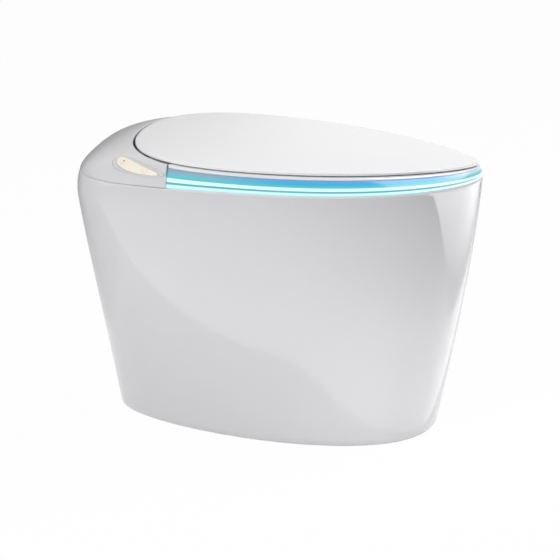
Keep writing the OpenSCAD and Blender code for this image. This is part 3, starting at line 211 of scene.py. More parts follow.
# The room shows white and lights the toilet dimly, less along its length than across it:
# its strength falls with the size of the direction's x.
world = bpy.data.worlds.new("studio")
bpy.context.scene.world = world
world.use_nodes = True
nodes, links = world.node_tree.nodes, world.node_tree.links
nodes.clear()
heading = make(nodes, "TexCoord")
split = make(nodes, "SeparateXYZ")
lengthwise = make(nodes, "Math", operation="ABSOLUTE")
dimming = make(nodes, "MapRange", To_Min=0.52, To_Max=0.08)
room = make(nodes, "Background", Color=(0.98, 0.98, 1, 1))
white = make(nodes, "Background", Color=(1, 1, 1, 1))
shown = make(nodes, "MixShader")
wire(links, (heading.outputs["Generated"], split.inputs[0]), (split.outputs["X"], lengthwise.inputs[0]),
     (lengthwise.outputs[0], dimming.inputs["Value"]), (dimming.outputs["Result"], room.inputs["Strength"]),
     (ground_rays(nodes, links), shown.inputs["Fac"]), (room.outputs[0], shown.inputs[1]),
     (white.outputs[0], shown.inputs[2]), (shown.outputs[0], make(nodes, "OutputWorld").inputs["Surface"]))

# The floor is nearly white to the camera and in the gloss, and its rest is a pale matt
# surface that takes the toilet's shadow.
floor_half = 12.0
floor_glow = 0.97
floor_corners = [(x * floor_half, y * floor_half, 0) for x, y in ((-1, -1), (1, -1), (1, 1), (-1, 1))]
floor_mesh = bpy.data.meshes.new("floor")
floor_mesh.from_pydata(floor_corners, [], [(0, 1, 2, 3)])
floor = bpy.data.objects.new("floor", floor_mesh)
bpy.context.scene.collection.objects.link(floor)
floor_white, nodes, links = new_material("white_floor")
lit = make(nodes, "BsdfDiffuse", Color=(0.88, 0.88, 0.88, 1))
glow = make(nodes, "Emission", Strength=1)
share = make(nodes, "Math", operation="MULTIPLY")
share.inputs[1].default_value = floor_glow
both = make(nodes, "MixShader")
wire(links, (ground_rays(nodes, links), share.inputs[0]), (share.outputs[0], both.inputs["Fac"]),
     (lit.outputs[0], both.inputs[1]), (glow.outputs[0], both.inputs[2]),
     (both.outputs[0], make(nodes, "OutputMaterial").inputs["Surface"]))
floor_mesh.materials.append(floor_white)

# The pan: one casting of vitreous china with a thick clear glaze. The skirt widens
# from a pointed foot to the rim, and bowl, rim deck and trapway are cast with it.
rim_z = 432.0
rim_half_w = 187.5
nose_x = 336.5
rim_rear_x = 327.3
rear_tuck = 9.1
tuck_from_z = 385.0
tuck_over_x = 150.0
foot_half_w = 155.6
foot_front_x = 267.0
foot_rear_x = 279.5
foot_mid_x = 59.0
flare = 1.314
skirt_t = 15.0
deck_z = rim_z - 22
cut_x = 150.5
lid_inset = 8.5
bowl_x = 94.0
bowl_steps = np.array([
    # height, middle, half length, half width
    [405.0, 94, 188, 135.5],
    [350, 94.5, 170, 123],
    [300, 100, 139, 105],
    [262, 110.5, 101, 84],
    [222, 117, 70, 61],
    [182, 121, 45, 45],
    [140, 122.5, 37, 37],
    [100, 122.5, 36, 36],
    [72, 122.5, 28, 28],
])
bowl_t = 11.0
QUARTER = 48


def cubic(p, t):
    """Points of a cubic Bezier curve with control points p, at each t."""
    t = np.asarray(t)[..., None]
    return (1 - t) ** 3 * p[0] + 3 * t * (1 - t) ** 2 * p[1] + 3 * t ** 2 * (1 - t) * p[2] + t ** 3 * p[3]


def inset_cubic(p, t, d):
    """Curve points moved to the inner side, at right angles to the curve, by d."""
    t = np.asarray(t)
    u = t[..., None]
    way = (1 - u) ** 2 * (p[1] - p[0]) + 2 * u * (1 - u) * (p[2] - p[1]) + u ** 2 * (p[3] - p[2])
    way /= np.linalg.norm(way, axis=-1, keepdims=True)
    return cubic(p, t) + np.asarray(d)[..., None] * np.stack([way[..., 1], -way[..., 0]], -1)


def rear_curve(back, half_w, mid, pull):
    """Half outline from the rear end to the widest place."""
    return np.array([(-back, 0), (-back, pull[0] * half_w),
                     (mid - pull[1] * (mid + back), half_w), (mid, half_w)])


def front_curve(front, half_w, mid, pull):
    """Half outline from the widest place to the nose."""
    return np.array([(mid, half_w), (mid + pull[0] * (front - mid), half_w),
                     (front, pull[1] * half_w), (front, 0)])


rim_curves = (rear_curve(rim_rear_x, rim_half_w, 0, (0.755, 0.978)),
              front_curve(nose_x, rim_half_w, 0, (0.635, 0.452)))
foot_curves = (rear_curve(foot_rear_x, foot_half_w, foot_mid_x, (0.523, 0.406)),
               front_curve(foot_front_x, foot_half_w, foot_mid_x, (0.656, 0.641)))


def half_outline(curves, d):
    """Left half of an outline, from the nose to the rear, moved inwards by d."""
    back_to_front = np.linspace(1, 0, QUARTER + 1)
    return np.concatenate([inset_cubic(curves[1], back_to_front, d),
                           inset_cubic(curves[0], back_to_front[1:], d)])


def whole(half):
    """Closed ring from its left half and the same half mirrored."""
    return np.concatenate([half, half[-2:0:-1] * [1, -1]])


def at_height(ring, z):
    """Plan ring with a height, one number or one for each point."""
    return np.column_stack([ring, np.broadcast_to(z, len(ring))])


def wall_ring(z, d):
    """Skirt's ring at height z: the foot's outline blended to the rim's by a power of the
    height, with the rear bulge that dies away under the rim."""
    w = 1 - (1 - z / rim_z) ** flare
    rim, foot = half_outline(rim_curves, d), half_outline(foot_curves, d)
    top = max(0, (z - tuck_from_z) / (rim_z - tuck_from_z))
    side = np.clip((-cut_x - rim[:, 0]) / tuck_over_x, 0, 1)
    half = foot * (1 - w) + rim * w
    half[:, 0] -= rear_tuck * w * (1 - top ** 2) * side
    return at_height(whole(half), z)


def oval(x, a, b):
    """Ellipse with as many points as an outline."""
    turn = np.linspace(0, 2 * np.pi, 4 * QUARTER, endpoint=False)
    return np.column_stack([x + a * np.cos(turn), b * np.sin(turn)])


def smooth_through(points, per_step):
    """Smooth curve through points: each span is a cubic whose end slopes come from the
    neighbours on both sides (Catmull-Rom)."""
    p = np.concatenate([[2 * points[0] - points[1]], points, [2 * points[-1] - points[-2]]])
    t = np.linspace(0, 1, per_step, endpoint=False)[:, None]
    spans = [0.5 * (2 * b + (c - a) * t + (2 * a - 5 * b + 4 * c - d) * t ** 2
                    + (3 * b - a - 3 * c + d) * t ** 3)
             for a, b, c, d in zip(p, p[1:], p[2:], p[3:])]
    return np.concatenate(spans + [points[-1:]])


def skinned(rings, loop=False):
    """Vertices and quads over rings of equal length, closed by a point in the middle of
    each end, or joined end to end as a loop. The faces are turned so that the signed
    volume under them, the sum of a . (b x c) over their triangles, comes out positive."""
    rings = np.asarray(rings)
    m, n = rings.shape[:2]
    j, i = np.meshgrid(np.arange(m if loop else m - 1), np.arange(n), indexing="ij")
    nxt, up = (i + 1) % n, (j + 1) % m
    quads = np.stack([j * n + i, j * n + nxt, up * n + nxt, up * n + i], -1).reshape(-1, 4)
    faces = quads.tolist()
    points = rings.reshape(-1, 3)
    if not loop:
        around = np.arange(n)
        after = (around + 1) % n
        low, high = m * n, m * n + 1
        points = np.concatenate([points, [rings[0].mean(0), rings[-1].mean(0)]])
        faces += np.stack([np.full(n, low), after, around], -1).tolist()
        faces += np.stack([np.full(n, high), (m - 1) * n + around, (m - 1) * n + after], -1).tolist()
    a, b, c, d = (np.array([points[face[k]] for face in faces]) for k in (0, 1, 2, -1))
    volume = np.einsum("ij,ij->", a, np.cross(b, c) + np.cross(c, d))
    return points, faces if volume > 0 else [face[::-1] for face in faces]


def build(name, parts, crease=35):
    """Mesh object from one or more (points, faces) pairs in millimetres, smooth shaded but
    for edges sharper than the crease angle."""
    points, faces = [], []
    for p, f in parts:
        start = sum(len(q) for q in points)
        faces += [[v + start for v in face] for face in f]
        points.append(np.asarray(p) * MM)
    mesh = bpy.data.meshes.new(name)
    mesh.from_pydata(np.concatenate(points).tolist(), [], faces)
    mesh.validate()
    mesh.shade_smooth()
    mesh.set_sharp_from_angle(angle=math.radians(crease))
    piece = bpy.data.objects.new(name, mesh)
    bpy.context.scene.collection.objects.link(piece)
    return piece


def carve(piece, cutters, crease=35):
    """Takes closed shapes out of a piece for good, and removes them."""
    for cutter in cutters:
        cut = piece.modifiers.new("cut", "BOOLEAN")
        cut.operation = "DIFFERENCE"
        cut.solver = "MANIFOLD"
        cut.object = cutter
        done = bpy.data.meshes.new_from_object(piece.evaluated_get(bpy.context.evaluated_depsgraph_get()))
        piece.modifiers.clear()
        old = piece.data
        piece.data = done
        bpy.data.meshes.remove(old)
        bpy.data.objects.remove(cutter)
    piece.data.name = piece.name
    piece.data.shade_smooth()
    piece.data.set_sharp_from_angle(angle=math.radians(crease))
    return piece


def tube_along(path, r, n=40):
    """Rings of radius r square to a path of points; the ring's start stays on one side."""
    path = np.asarray(path, float)
    way = np.gradient(path, axis=0)
    way /= np.linalg.norm(way, axis=1, keepdims=True)
    side = np.cross(way, [0, 1, 0])
    flat = np.linalg.norm(side, axis=1) < 0.1
    side[flat] = np.cross(way[flat], [0, 0, 1])
    side /= np.linalg.norm(side, axis=1, keepdims=True)
    over = np.cross(way, side)
    turn = np.linspace(0, 2 * np.pi, n, endpoint=False)
    r = np.broadcast_to(r, len(path))[:, None, None]
    cos, sin = np.cos(turn)[None, :, None], np.sin(turn)[None, :, None]
    return path[:, None] + r * (cos * side[:, None] + sin * over[:, None])


def block(low, high, round_r=0.0, axis=2):
    """Box between two corners, its edges along the axis rounded by round_r."""
    low, high = np.array(low, float), np.array(high, float)
    a, b = [k for k in (0, 1, 2) if k != axis]
    r = max(round_r, 0.01)
    turn = np.linspace(0, 2 * np.pi, 48, endpoint=False) + np.pi / 48
    ca, cb = np.cos(turn), np.sin(turn)
    u = np.where(ca > 0, high[a] - r, low[a] + r) + r * ca
    v = np.where(cb > 0, high[b] - r, low[b] + r) + r * cb
    rings = np.zeros((2, 48, 3))
    rings[:, :, a], rings[:, :, b] = u, v
    rings[0, :, axis], rings[1, :, axis] = low[axis], high[axis]
    return skinned(rings)


sump_x = 122.5
sump_r = 38.0
passage_z = 100.0
trap_r = 26.0
trap_t = 9.0
bend_r = 45.0
trap_from_x = 86.0
rise_from_sump = 88.0
riser_l = 20.0
outlet_end_z = 6.0
outlet_flange = ((34, 24), (58, 24), (58, 34), (34, 34))
mouth_half_l, mouth_half_w = 190.0, 137.0
deck_half_l, deck_half_w = 201.0, 148.0
rim_round = 3.0
notch_half_w = 25.0
duct_low, duct_high = (44, 372), (74, 402)
rim_pipe_at = (-75, 388)
jet_pipe_y = (-60, -20)
pipe_hole_r = 8.0
opening_low, opening_high, opening_round = (14, 55), (74, 185), 22.0


def trap_path(start_x, end_z):
    """Middle line of the trapway: back from the sump, a bend up, over the weir in a half
    circle, and straight down."""
    rise_x, low_z = sump_x - rise_from_sump, passage_z + bend_r
    high_z, fall_x = low_z + riser_l, rise_x - 2 * bend_r
    quarter = np.radians(np.linspace(-90, -180, 14))
    half = np.radians(np.linspace(0, 180, 28))
    first = np.column_stack([rise_x + bend_r + bend_r * np.cos(quarter), low_z + bend_r * np.sin(quarter)])
    over = np.column_stack([rise_x - bend_r + bend_r * np.cos(half), high_z + bend_r * np.sin(half)])
    line = np.concatenate([[[start_x, passage_z]], first, over, [[fall_x, end_z]]])
    return np.column_stack([line[:, 0], np.zeros(len(line)), line[:, 1]])


bowl_line = smooth_through(bowl_steps, 6)
outer_bowl = [at_height(oval(x, a + bowl_t, b + bowl_t), z) for z, x, a, b in bowl_line[::-1]]
inner_bowl = [at_height(oval(x, a, b), z) for z, x, a, b in bowl_line]
arc = np.radians(np.linspace(0, 90, 7))
rim_edge = [wall_ring(rim_z - rim_round * (1 - math.sin(a)), rim_round * (1 - math.cos(a))) for a in arc]
lip_edge = [at_height(oval(bowl_x, mouth_half_l + out, mouth_half_w + out), z)
            for out, z in zip(rim_round * (1 - np.sin(arc)), rim_z - rim_round * (1 - np.cos(arc)))]
skirt_z = np.concatenate([np.linspace(3, 372, 40), np.linspace(378, rim_z - rim_round, 14)])
skirt = [wall_ring(z, 0) for z in skirt_z]
inside = [wall_ring(z, skirt_t) for z in np.linspace(deck_z, 0, 12)]
pan = build("glazed_pan", [skinned(
    [at_height(oval(sump_x, sump_r, sump_r), 60)] + outer_bowl
    + [at_height(oval(bowl_x, deck_half_l, deck_half_w), deck_z)] + inside + [wall_ring(0, 2)]
    + skirt + rim_edge + lip_edge + inner_bowl)])


def behind_line(curves, d, x, n=60):
    """Closed ring: the part of an outline, moved inwards by d, that lies behind x."""
    t = np.linspace(0, 1, 4001)
    end = float(np.interp(x, inset_cubic(curves[0], t, d)[:, 0], t))
    half = inset_cubic(curves[0], np.linspace(end, 0, n), d)
    return np.concatenate([half, half[-2::-1] * [1, -1]])


rear_deck = behind_line(rim_curves, 20, -cut_x - 2.5)
carve(pan, [
    build("deck_opening", [skinned([at_height(rear_deck, deck_z - 3), at_height(rear_deck, rim_z + 1)])]),
    build("nozzle_notch", [block((-130, -notch_half_w, 360), (-60, notch_half_w, deck_z - 1))]),
    build("duct_hole", [block((-130, *duct_low), (-55, *duct_high), 2, 0)]),
    build("rim_hole", [skinned(tube_along([(x, *rim_pipe_at) for x in (-115, -50)], pipe_hole_r))]),
    build("jet_hole", [skinned(tube_along([(sump_x, y, passage_z) for y in jet_pipe_y], pipe_hole_r))]),
    build("passage", [skinned(tube_along([(sump_x, 0, passage_z), (70, 0, passage_z)], trap_r))]),
    build("service_opening", [block((-340, *opening_low), (-190, *opening_high), opening_round, 0)]),
])


def glaze(name, colour, tint, rough=0.07):
    """Glazed china: a clear coat over a body whose colour drifts a little from place to
    place, with the faint waviness of a fired glaze."""
    material, nodes, links = new_material(name)
    place = make(nodes, "TexCoord").outputs["Object"]
    cloud = make(nodes, "TexNoise", Scale=3.2, Detail=3)
    tinted = [c * t for c, t in zip(colour, tint)]
    drift = make(nodes, "Mix", data_type="RGBA", A=(*colour, 1), B=(*tinted, 1))
    wave = make(nodes, "TexNoise", Scale=9, Detail=1)
    bump = make(nodes, "Bump", Strength=0.05, Distance=0.002)
    surface = make(nodes, "BsdfPrincipled", Roughness=rough, Specular_IOR_Level=0.5,
                   Coat_Weight=0.45, Coat_Roughness=0.03)
    wire(links, (place, cloud.inputs["Vector"]), (place, wave.inputs["Vector"]),
         (cloud.outputs["Fac"], drift.inputs["Factor"]),
         (drift.outputs["Result"], surface.inputs["Base Color"]),
         (wave.outputs["Fac"], bump.inputs["Height"]),
         (bump.outputs["Normal"], surface.inputs["Normal"]),
         (surface.outputs[0], make(nodes, "OutputMaterial").inputs["Surface"]))
    return material


def finish_as(piece, material):
    """Gives a piece, new or from the frame, one material all over."""
    piece.data.materials.clear()
    piece.data.materials.append(material)


china = glaze("white_china", (0.67, 0.67, 0.683), tint=(0.985, 0.985, 0.99))
trap_line = trap_path(trap_from_x, outlet_end_z)
flange_turn = np.linspace(0, 2 * np.pi, 64, endpoint=False)
trap = build("glazed_trapway", [
    skinned(np.concatenate([tube_along(trap_line, trap_r + trap_t),
                            tube_along(trap_line, trap_r)[::-1]]), loop=True),
    skinned(np.array([[(trap_line[-1, 0] + r * math.cos(a), r * math.sin(a), z) for a in flange_turn]
                      for r, z in outlet_flange]), loop=True),
])
for piece in (pan, trap):
    finish_as(piece, china)
    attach(piece, "base")
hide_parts("ceramic_pan", "ceramic_bowl")
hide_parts("trapway", "outlet_leg")

# The rear cover: a glossy moulded shell over the wash and drying unit. It swells from the
# parting line on the pan up to a thin bright edge beside the lid, and it has a trough
# under the lid for the hinges, into which the lid's tail swings.
cover_z = rim_z + 0.8
cover_x = -cut_x - 0.8
cover_t = 3.0
cover_gap = 4.5
lid_low_z = 464.5
lid_fall = 0.038
lid_rear_x = 240.0
lid_mid_x = -53.3
lid_curves = (rear_curve(lid_rear_x, rim_half_w - lid_inset, lid_mid_x, (0.669, 0.668)),
              front_curve(nose_x - lid_inset, rim_half_w - lid_inset, lid_mid_x, (0.556, 0.268)))
plan_power, rise_power = 1.25, 1.284
edge_drop, edge_fall, edge_least = 10.0, 0.09, 8.0
cap_drop = 3.5
trough_z = rim_z + 6.3
trough_half_w = 129.0
trough_front_x = -140.0
lip_w = 0.4


def edge_height(x):
    """Height of the cover's edge beside the lid."""
    return np.maximum(lid_low_z - edge_drop - edge_fall * x, cover_z + edge_least)


def cap_height(x):
    """Height of the cover's flat part under the lid."""
    return lid_low_z - lid_fall * x - cap_drop


def shoulder(t, w, up=0.0):
    """Cover's shoulder on the left: the rim's outline at w = 0 blended to the lid's at
    w = 90 degrees by powers of cos and sin, raised square to itself by up."""
    t, w = np.broadcast_arrays(np.asarray(t, float), np.radians(np.asarray(w, float)))

    def plain(t, w):
        """The shoulder itself, not raised."""
        a = (1 - np.cos(w) ** plan_power)[..., None]
        high = inset_cubic(lid_curves[0], t, -cover_gap)
        plan = cubic(rim_curves[0], t) * (1 - a) + high * a
        z = cover_z + (edge_height(high[..., 0]) - cover_z) * np.sin(w) ** rise_power
        return np.concatenate([plan, z[..., None]], -1)

    if not np.any(up):
        return plain(t, w)
    step = 0.004
    along = plain(t + step, w) - plain(t - step, w)
    rise = plain(t, np.minimum(w + step, 1.5707)) - plain(t, np.maximum(w - step, 0.0001))
    out = np.cross(rise, along)
    out /= np.linalg.norm(out, axis=-1, keepdims=True)
    return plain(t, w) + np.asarray(up)[..., None] * out


def shoulder_ring(w, top=None, d=0.0):
    """Whole ring of the shoulder at w; with top given, w = 90 reaches that height rule."""
    a = 1 - math.cos(math.radians(w)) ** plan_power
    b = math.sin(math.radians(w)) ** rise_power
    high = half_outline(lid_curves, d * 1.73 - cover_gap)
    plan = whole(half_outline(rim_curves, d) * (1 - a) + high * a)
    reach = (edge_height if top is None else top)(whole(high)[:, 0])
    return at_height(plan, cover_z + (reach - cover_z) * b)


def in_front_of(x):
    """Closed block that holds everything in front of a plane across the toilet."""
    return build("front_space", [block((x, -300, 300), (x + 700, 300, 600))])


edge_turn = np.radians(np.linspace(15, 165, 6))
lip_z = edge_height(whole(half_outline(lid_curves, -cover_gap))[:, 0])
lip_rings = [at_height(whole(half_outline(lid_curves, -cover_gap + lip_w / 2 * (1 - math.cos(a)))),
                       lip_z + lip_w / 2 * (math.sin(a) - 1))
             for a in edge_turn]
cap_ring = whole(half_outline(lid_curves, -cover_gap + lip_w + 0.1))
cover = build("rear_cover_shell", [skinned(
    [shoulder_ring(w) for w in np.concatenate([np.linspace(0, 84, 29), [87.5]])] + lip_rings
    + [np.column_stack([cap_ring, cap_height(cap_ring[:, 0])])])])
hollow = build("cover_hollow", [skinned(
    [at_height(shoulder_ring(0, d=cover_t)[:, :2], cover_z - 1)]
    + [shoulder_ring(w, top=lambda x: cap_height(x) - cover_t, d=cover_t) for w in np.linspace(0, 90, 16)])])


def trough_block(grow, z):
    """Straight-walled room under the lid's tail, grown by grow on all sides."""
    plan = behind_line(lid_curves, lip_w - cover_gap - grow, trough_front_x)
    plan[:, 1] = np.clip(plan[:, 1], -trough_half_w - grow, trough_half_w + grow)
    return build("trough", [skinned([at_height(plan, z), at_height(plan, z + 80)])])


carve(hollow, [in_front_of(cover_x - cover_t), trough_block(cover_t, trough_z - 2.5)])
carve(cover, [in_front_of(cover_x), hollow, trough_block(0, trough_z)])


def moulded(name, colour, rough=0.25, grain=600.0, depth=0.04, coat=0.0, drift=0.96):
    """Moulded plastic: a fine even grain, a slight drift of colour over the piece and a
    little unevenness in its gloss."""
    material, nodes, links = new_material(name)
    place = make(nodes, "TexCoord").outputs["Object"]
    cloud = make(nodes, "TexNoise", Scale=6)
    mixed = make(nodes, "Mix", data_type="RGBA", A=(*colour, 1), B=(*(c * drift for c in colour), 1))
    fine = make(nodes, "TexNoise", Scale=grain, Detail=2)
    gloss = make(nodes, "MapRange", To_Min=rough * 0.85, To_Max=min(1, rough * 1.2))
    bump = make(nodes, "Bump", Strength=depth, Distance=0.0004)
    surface = make(nodes, "BsdfPrincipled", Coat_Weight=coat, Coat_Roughness=0.05)
    wire(links, (place, cloud.inputs["Vector"]), (place, fine.inputs["Vector"]),
         (cloud.outputs["Fac"], mixed.inputs["Factor"]),
         (mixed.outputs["Result"], surface.inputs["Base Color"]),
         (cloud.outputs["Fac"], gloss.inputs["Value"]),
         (gloss.outputs["Result"], surface.inputs["Roughness"]),
         (fine.outputs["Fac"], bump.inputs["Height"]),
         (bump.outputs["Normal"], surface.inputs["Normal"]),
         (surface.outputs[0], make(nodes, "OutputMaterial").inputs["Surface"]))
    return material


gloss_white = moulded("gloss_white", (0.63, 0.63, 0.64), rough=0.16, depth=0.01, coat=0.5, drift=0.985)
finish_as(cover, gloss_white)
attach(cover, "base")
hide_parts("rear_cover")

# The control plate: a cream teardrop let into the cover's right shoulder in a shallow
# frame, with the flush key at its broad end and the wash key at its narrow end.
panel_at = (0.615, 51.3)
panel_l, panel_w = 79.0, 18.0
panel_turn = -67.0
mm_per_t = 263.0
mm_per_w = 0.9
flush_at = (0.53, 58.0)
wash_at = (0.7, 46.2)
flush_r, wash_r = 5.5, 4.5
key_clear = 0.3


def panel_patch(reach, grow, up, n=120):
    """Closed line on the right shoulder: an ellipse round the plate's middle, at a share of
    its reach, grown by grow, raised by up."""
    turn = np.linspace(0, 2 * np.pi, n, endpoint=False)
    u, v = np.cos(turn), np.sin(turn) * (1 + 0.15 * np.cos(turn))
    t = panel_at[0] + u * reach * (panel_l / 2 + grow) / mm_per_t
    w = panel_at[1] + panel_turn * u * reach * panel_l / 2 / mm_per_t
    w = w + v * reach * (panel_w / 2 + grow) / mm_per_w
    return shoulder(t, w, up=np.full(n, float(up))) * [1, -1, 1]


def panel_solid(grow, low, high, edge=0.3):
    """Plate that follows the shoulder, its upper edge rounded."""
    rings = [panel_patch(k, grow, low) for k in (0.02, 0.4, 0.8)] + [panel_patch(1, grow, low)]
    rings += [panel_patch(1, grow - edge * (1 - math.cos(a)), high - edge * (1 - math.sin(a))) for a in arc]
    rings += [panel_patch(k, grow - edge, high) for k in (0.95, 0.85, 0.7, 0.5, 0.3, 0.15, 0.02)]
    return skinned(rings)


def key_frame(at):
    """Point on the right shoulder, the outward direction there, and two directions along."""
    point = shoulder(at[0], at[1]) * [1, -1, 1]
    out = (shoulder(at[0], at[1], up=np.array(1.0)) * [1, -1, 1]) - point
    out /= np.linalg.norm(out)
    along = np.cross([0, 1, 0], out)
    along /= np.linalg.norm(along)
    return point, out, along, np.cross(out, along)


def turned_on(at, profile, n=72):
    """Surface of revolution about the outward direction at a place on the shoulder, from a
    profile of (radius, height)."""
    point, out, a, b = key_frame(at)
    turn = np.linspace(0, 2 * np.pi, n, endpoint=False)
    round_about = np.cos(turn)[:, None] * a + np.sin(turn)[:, None] * b
    return skinned(np.array([point + h * out + r * round_about for r, h in profile]))


def key_cuts(name, low, high):
    """Round holes for both keys, with the keys' clearance, between two heights."""
    return [build(name, [turned_on(at, ((r + key_clear, low), (r + key_clear, high)))])
            for at, r in ((flush_at, flush_r), (wash_at, wash_r))]


carve(cover, [build("panel_recess", [panel_solid(5.3, -2.1, 6)])] + key_cuts("key_bore", -14, 4))
plate = build("control_plate", [panel_solid(0, -1.5, 0.6)])
carve(plate, key_cuts("key_hole", -6, 6))
bezel_path = [(5, -1.5), (5, -0.1), (4.6, 0.12), (4, 0.15), (2.6, -0.25), (1.4, -0.3), (0.6, 0.2),
              (0.3, 0.1), (0.3, -1.5)]
bezel = build("plate_frame", [skinned([panel_patch(1, g, h) for g, h in bezel_path], loop=True)])
cream = moulded("cream_plastic", (0.9, 0.82, 0.7), rough=0.3, depth=0.02, coat=0.2, drift=0.97)
frame_white = moulded("frame_white", (0.62, 0.62, 0.62), rough=0.2, depth=0.01, coat=0.4)
mark_grey = moulded("mark_grey", (0.05, 0.048, 0.045), rough=0.4)
faint_grey = moulded("faint_grey", (0.5, 0.44, 0.38), rough=0.4)
keys = {}
for name, at, r, body in (("flush", flush_at, flush_r, "flush_button"),
                          ("wash", wash_at, wash_r, "wash_button")):
    dish = [(0.02, -7), (2.5, -7), (2.5, -5.5), (r + 1, -5.2), (r + 1, -4.1), (r, -4.1), (r, 0.45),
            (r - 0.1, 0.68), (r - 0.35, 0.78), (r - 1, 0.76), (r * 0.5, 0.62), (0.02, 0.58)]
    keys[name] = build(name + "_key_cap", [turned_on(at, dish)])
    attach(keys[name], body)
    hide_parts(name + "_key")
for piece, material, slot_name, replaced in ((plate, cream, "cream_plastic", "control_panel"),
                                             (bezel, frame_white, "inner_plastic", "control_bezel")):
    finish_as(piece, material)
    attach(piece, "base")
    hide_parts(replaced)
for piece in keys.values():
    finish_as(piece, cream)


def stroke(at, line, half_w, high):
    """Printed mark on a key: a flat rounded bar along a line of (along, across) points."""
    point, out, a, b = key_frame(at)
    line = np.asarray(line, float)
    path = point + line[:, :1] * a + line[:, 1:] * b + high * out
    way = np.gradient(path, axis=0)
    way /= np.linalg.norm(way, axis=1, keepdims=True)
    side = np.cross(out, way)
    turn = np.linspace(0, 2 * np.pi, 16, endpoint=False)
    swell = np.sqrt(np.clip(1 - np.linspace(-1, 1, len(path)) ** 8, 0.01, 1))[:, None, None]
    rings = path[:, None] + swell * (half_w * np.cos(turn)[None, :, None] * side[:, None]
                                     + 0.12 * np.sin(turn)[None, :, None] * out)
    return skinned(rings)


flush_mark = build("flush_mark", [stroke(flush_at, np.linspace((-1.6, -1.4), (1.4, 1.8), 14), 1.0, 0.62)])
ring_turn = np.radians(np.linspace(40, 250, 30))
wash_ring = 2.4 * np.column_stack([np.cos(ring_turn), np.sin(ring_turn)])
wash_mark = build("wash_mark", [stroke(wash_at, wash_ring, 0.3, 0.64)])
for piece, body, material in ((flush_mark, "flush_button", mark_grey),
                              (wash_mark, "wash_button", faint_grey)):
    finish_as(piece, material)
    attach(piece, body)

# The seat's upper shell: the glossy heated surface, with a rounded bead that shows as a
# white line between the lid and the lit band, and an egg-shaped opening.
seat_x = cut_x - 0.8
seat_z = rim_z + 1.2
lid_gap = 1.8
band_depth = 12.0
open_x, open_half_l, open_half_w = 79.5, 157.0, 115.0
FRONT, SIDE, CHORD = 60, 16, 12


def t_at(curve, x):
    """Place on a curve where it reaches x, found between fine samples."""
    t = np.linspace(0, 1, 4001)
    return float(np.interp(x, cubic(curve, t)[:, 0], t))


def seat_top(x):
    """Height of the seat's upper surface, which follows the lid's lower edge."""
    return lid_low_z - lid_fall * x - lid_gap


def side_line(d, s):
    """Left side of the seat from nose to cut, leaning from the rim's outline at s = 0 to
    the lid's at s = 1, at depth d from the rim."""
    k = d - lid_inset * s
    lines = []
    for curves in (rim_curves, lid_curves):
        back = np.linspace(1, t_at(curves[0], -seat_x), SIDE + 1)[1:]
        lines.append(np.concatenate([inset_cubic(curves[1], np.linspace(1, 0, FRONT + 1), k),
                                     inset_cubic(curves[0], back, k)]))
    line = lines[0] * (1 - s) + lines[1] * s
    line[-1, 0] = -seat_x
    return line


def seat_ring(d, c, s):
    """Whole ring of the seat in plan: both sides and the straight rear edge moved by c."""
    left = side_line(d, s)[:-1]
    end_y = side_line(d, s)[-1, 1]
    across = np.linspace(1, 0, CHORD + 1)
    return whole(np.concatenate([left, np.column_stack([np.full(CHORD + 1, c - seat_x), end_y * across])]))


def seat_height(ring, s):
    """Height at share s of the seat, between the rim's gap and its upper surface."""
    return seat_z + s * (seat_top(ring[:, 0]) - seat_z)


def seat_edge(d, c, s):
    """Ring of the seat at share s of its height."""
    ring = seat_ring(d, c, s)
    return at_height(ring, seat_height(ring, s))


def open_ring(d):
    """Seat's opening, with one point for each point of the seat's ring."""
    n = len(seat_ring(0, 0, 1))
    turn = np.linspace(0, 2 * np.pi, n, endpoint=False)
    return np.column_stack([open_x + (open_half_l + d) * np.cos(turn), (open_half_w + d) * np.sin(turn)])


def seat_over(q, drop):
    """Ring on the seat's surface at share q of the way from its edge to the opening."""
    plan = seat_ring(lid_inset, 0, 1) * (1 - q) + open_ring(0) * q
    return at_height(plan, seat_top(plan[:, 0]) - drop)


bead = smooth_through(np.array([(6.4, 0, 0.825), (5.5, 0, 0.86), (5.35, 0, 0.9), (5.8, 0, 0.945),
                                (7.1, 0.4, 0.98), (8.4, 1.2, 0.995), (9.5, 2, 1)]), 3)
rise = np.concatenate([[0.06, 0.15], np.linspace(0.25, 1, 16)])
edge_d, edge_c = band_depth + 0.5, 3.3
under_edge = seat_ring(edge_d, edge_c, 1)
seat_shell = build("seat_upper_shell", [skinned(
    [seat_edge(*p) for p in bead]
    + [seat_over(q, 8 * q ** 6) for q in rise]
    + [at_height(open_ring(0), rim_z + 11), at_height(open_ring(3), rim_z + 11)]
    + [at_height(open_ring(3), seat_top(open_ring(3)[:, 0]) - 9)]
    + [seat_over(0.68, 4.5), seat_over(0.3, 2.8), at_height(under_edge, seat_top(under_edge[:, 0]) - 3),
       seat_edge(edge_d, edge_c, 0.825)], loop=True)], crease=50)
# The seat's white is set lighter than the cover's gloss white: painted light on its bead and top.
seat_white_with_painted_light = moulded("seat_white_with_painted_light", (0.8, 0.8, 0.81), rough=0.14, depth=0.01, coat=0.5, drift=0.985)
finish_as(seat_shell, seat_white_with_painted_light)
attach(seat_shell, "seat")
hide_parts("seat_top_shell")

# The lit band and its light rail: two clear mouldings clipped round the seat's side over a
# strip of diodes. The band glows blue and the rail's upper lip glows almost white. The glow of
# the rail's lower lip is a painted reflection of the diodes in the china's rim below the seat.
band_low, band_high = 0.44, 0.815
band_fades = ((-100, 60), (262, 330))
lit_power = 0.95


def side_run(profile):
    """Closed moulding carried round the seat's side from cut to cut: its section is a list
    of (depth, share of height), skinned from station to station."""
    lines = np.array([at_height(line, seat_height(line, s))
                      for line, s in ((side_line(d, s), s) for d, s in profile)])
    left = lines.transpose(1, 0, 2)[::-1]
    right = left[::-1][1:] * [1, -1, 1]
    return skinned(np.concatenate([left, right]))


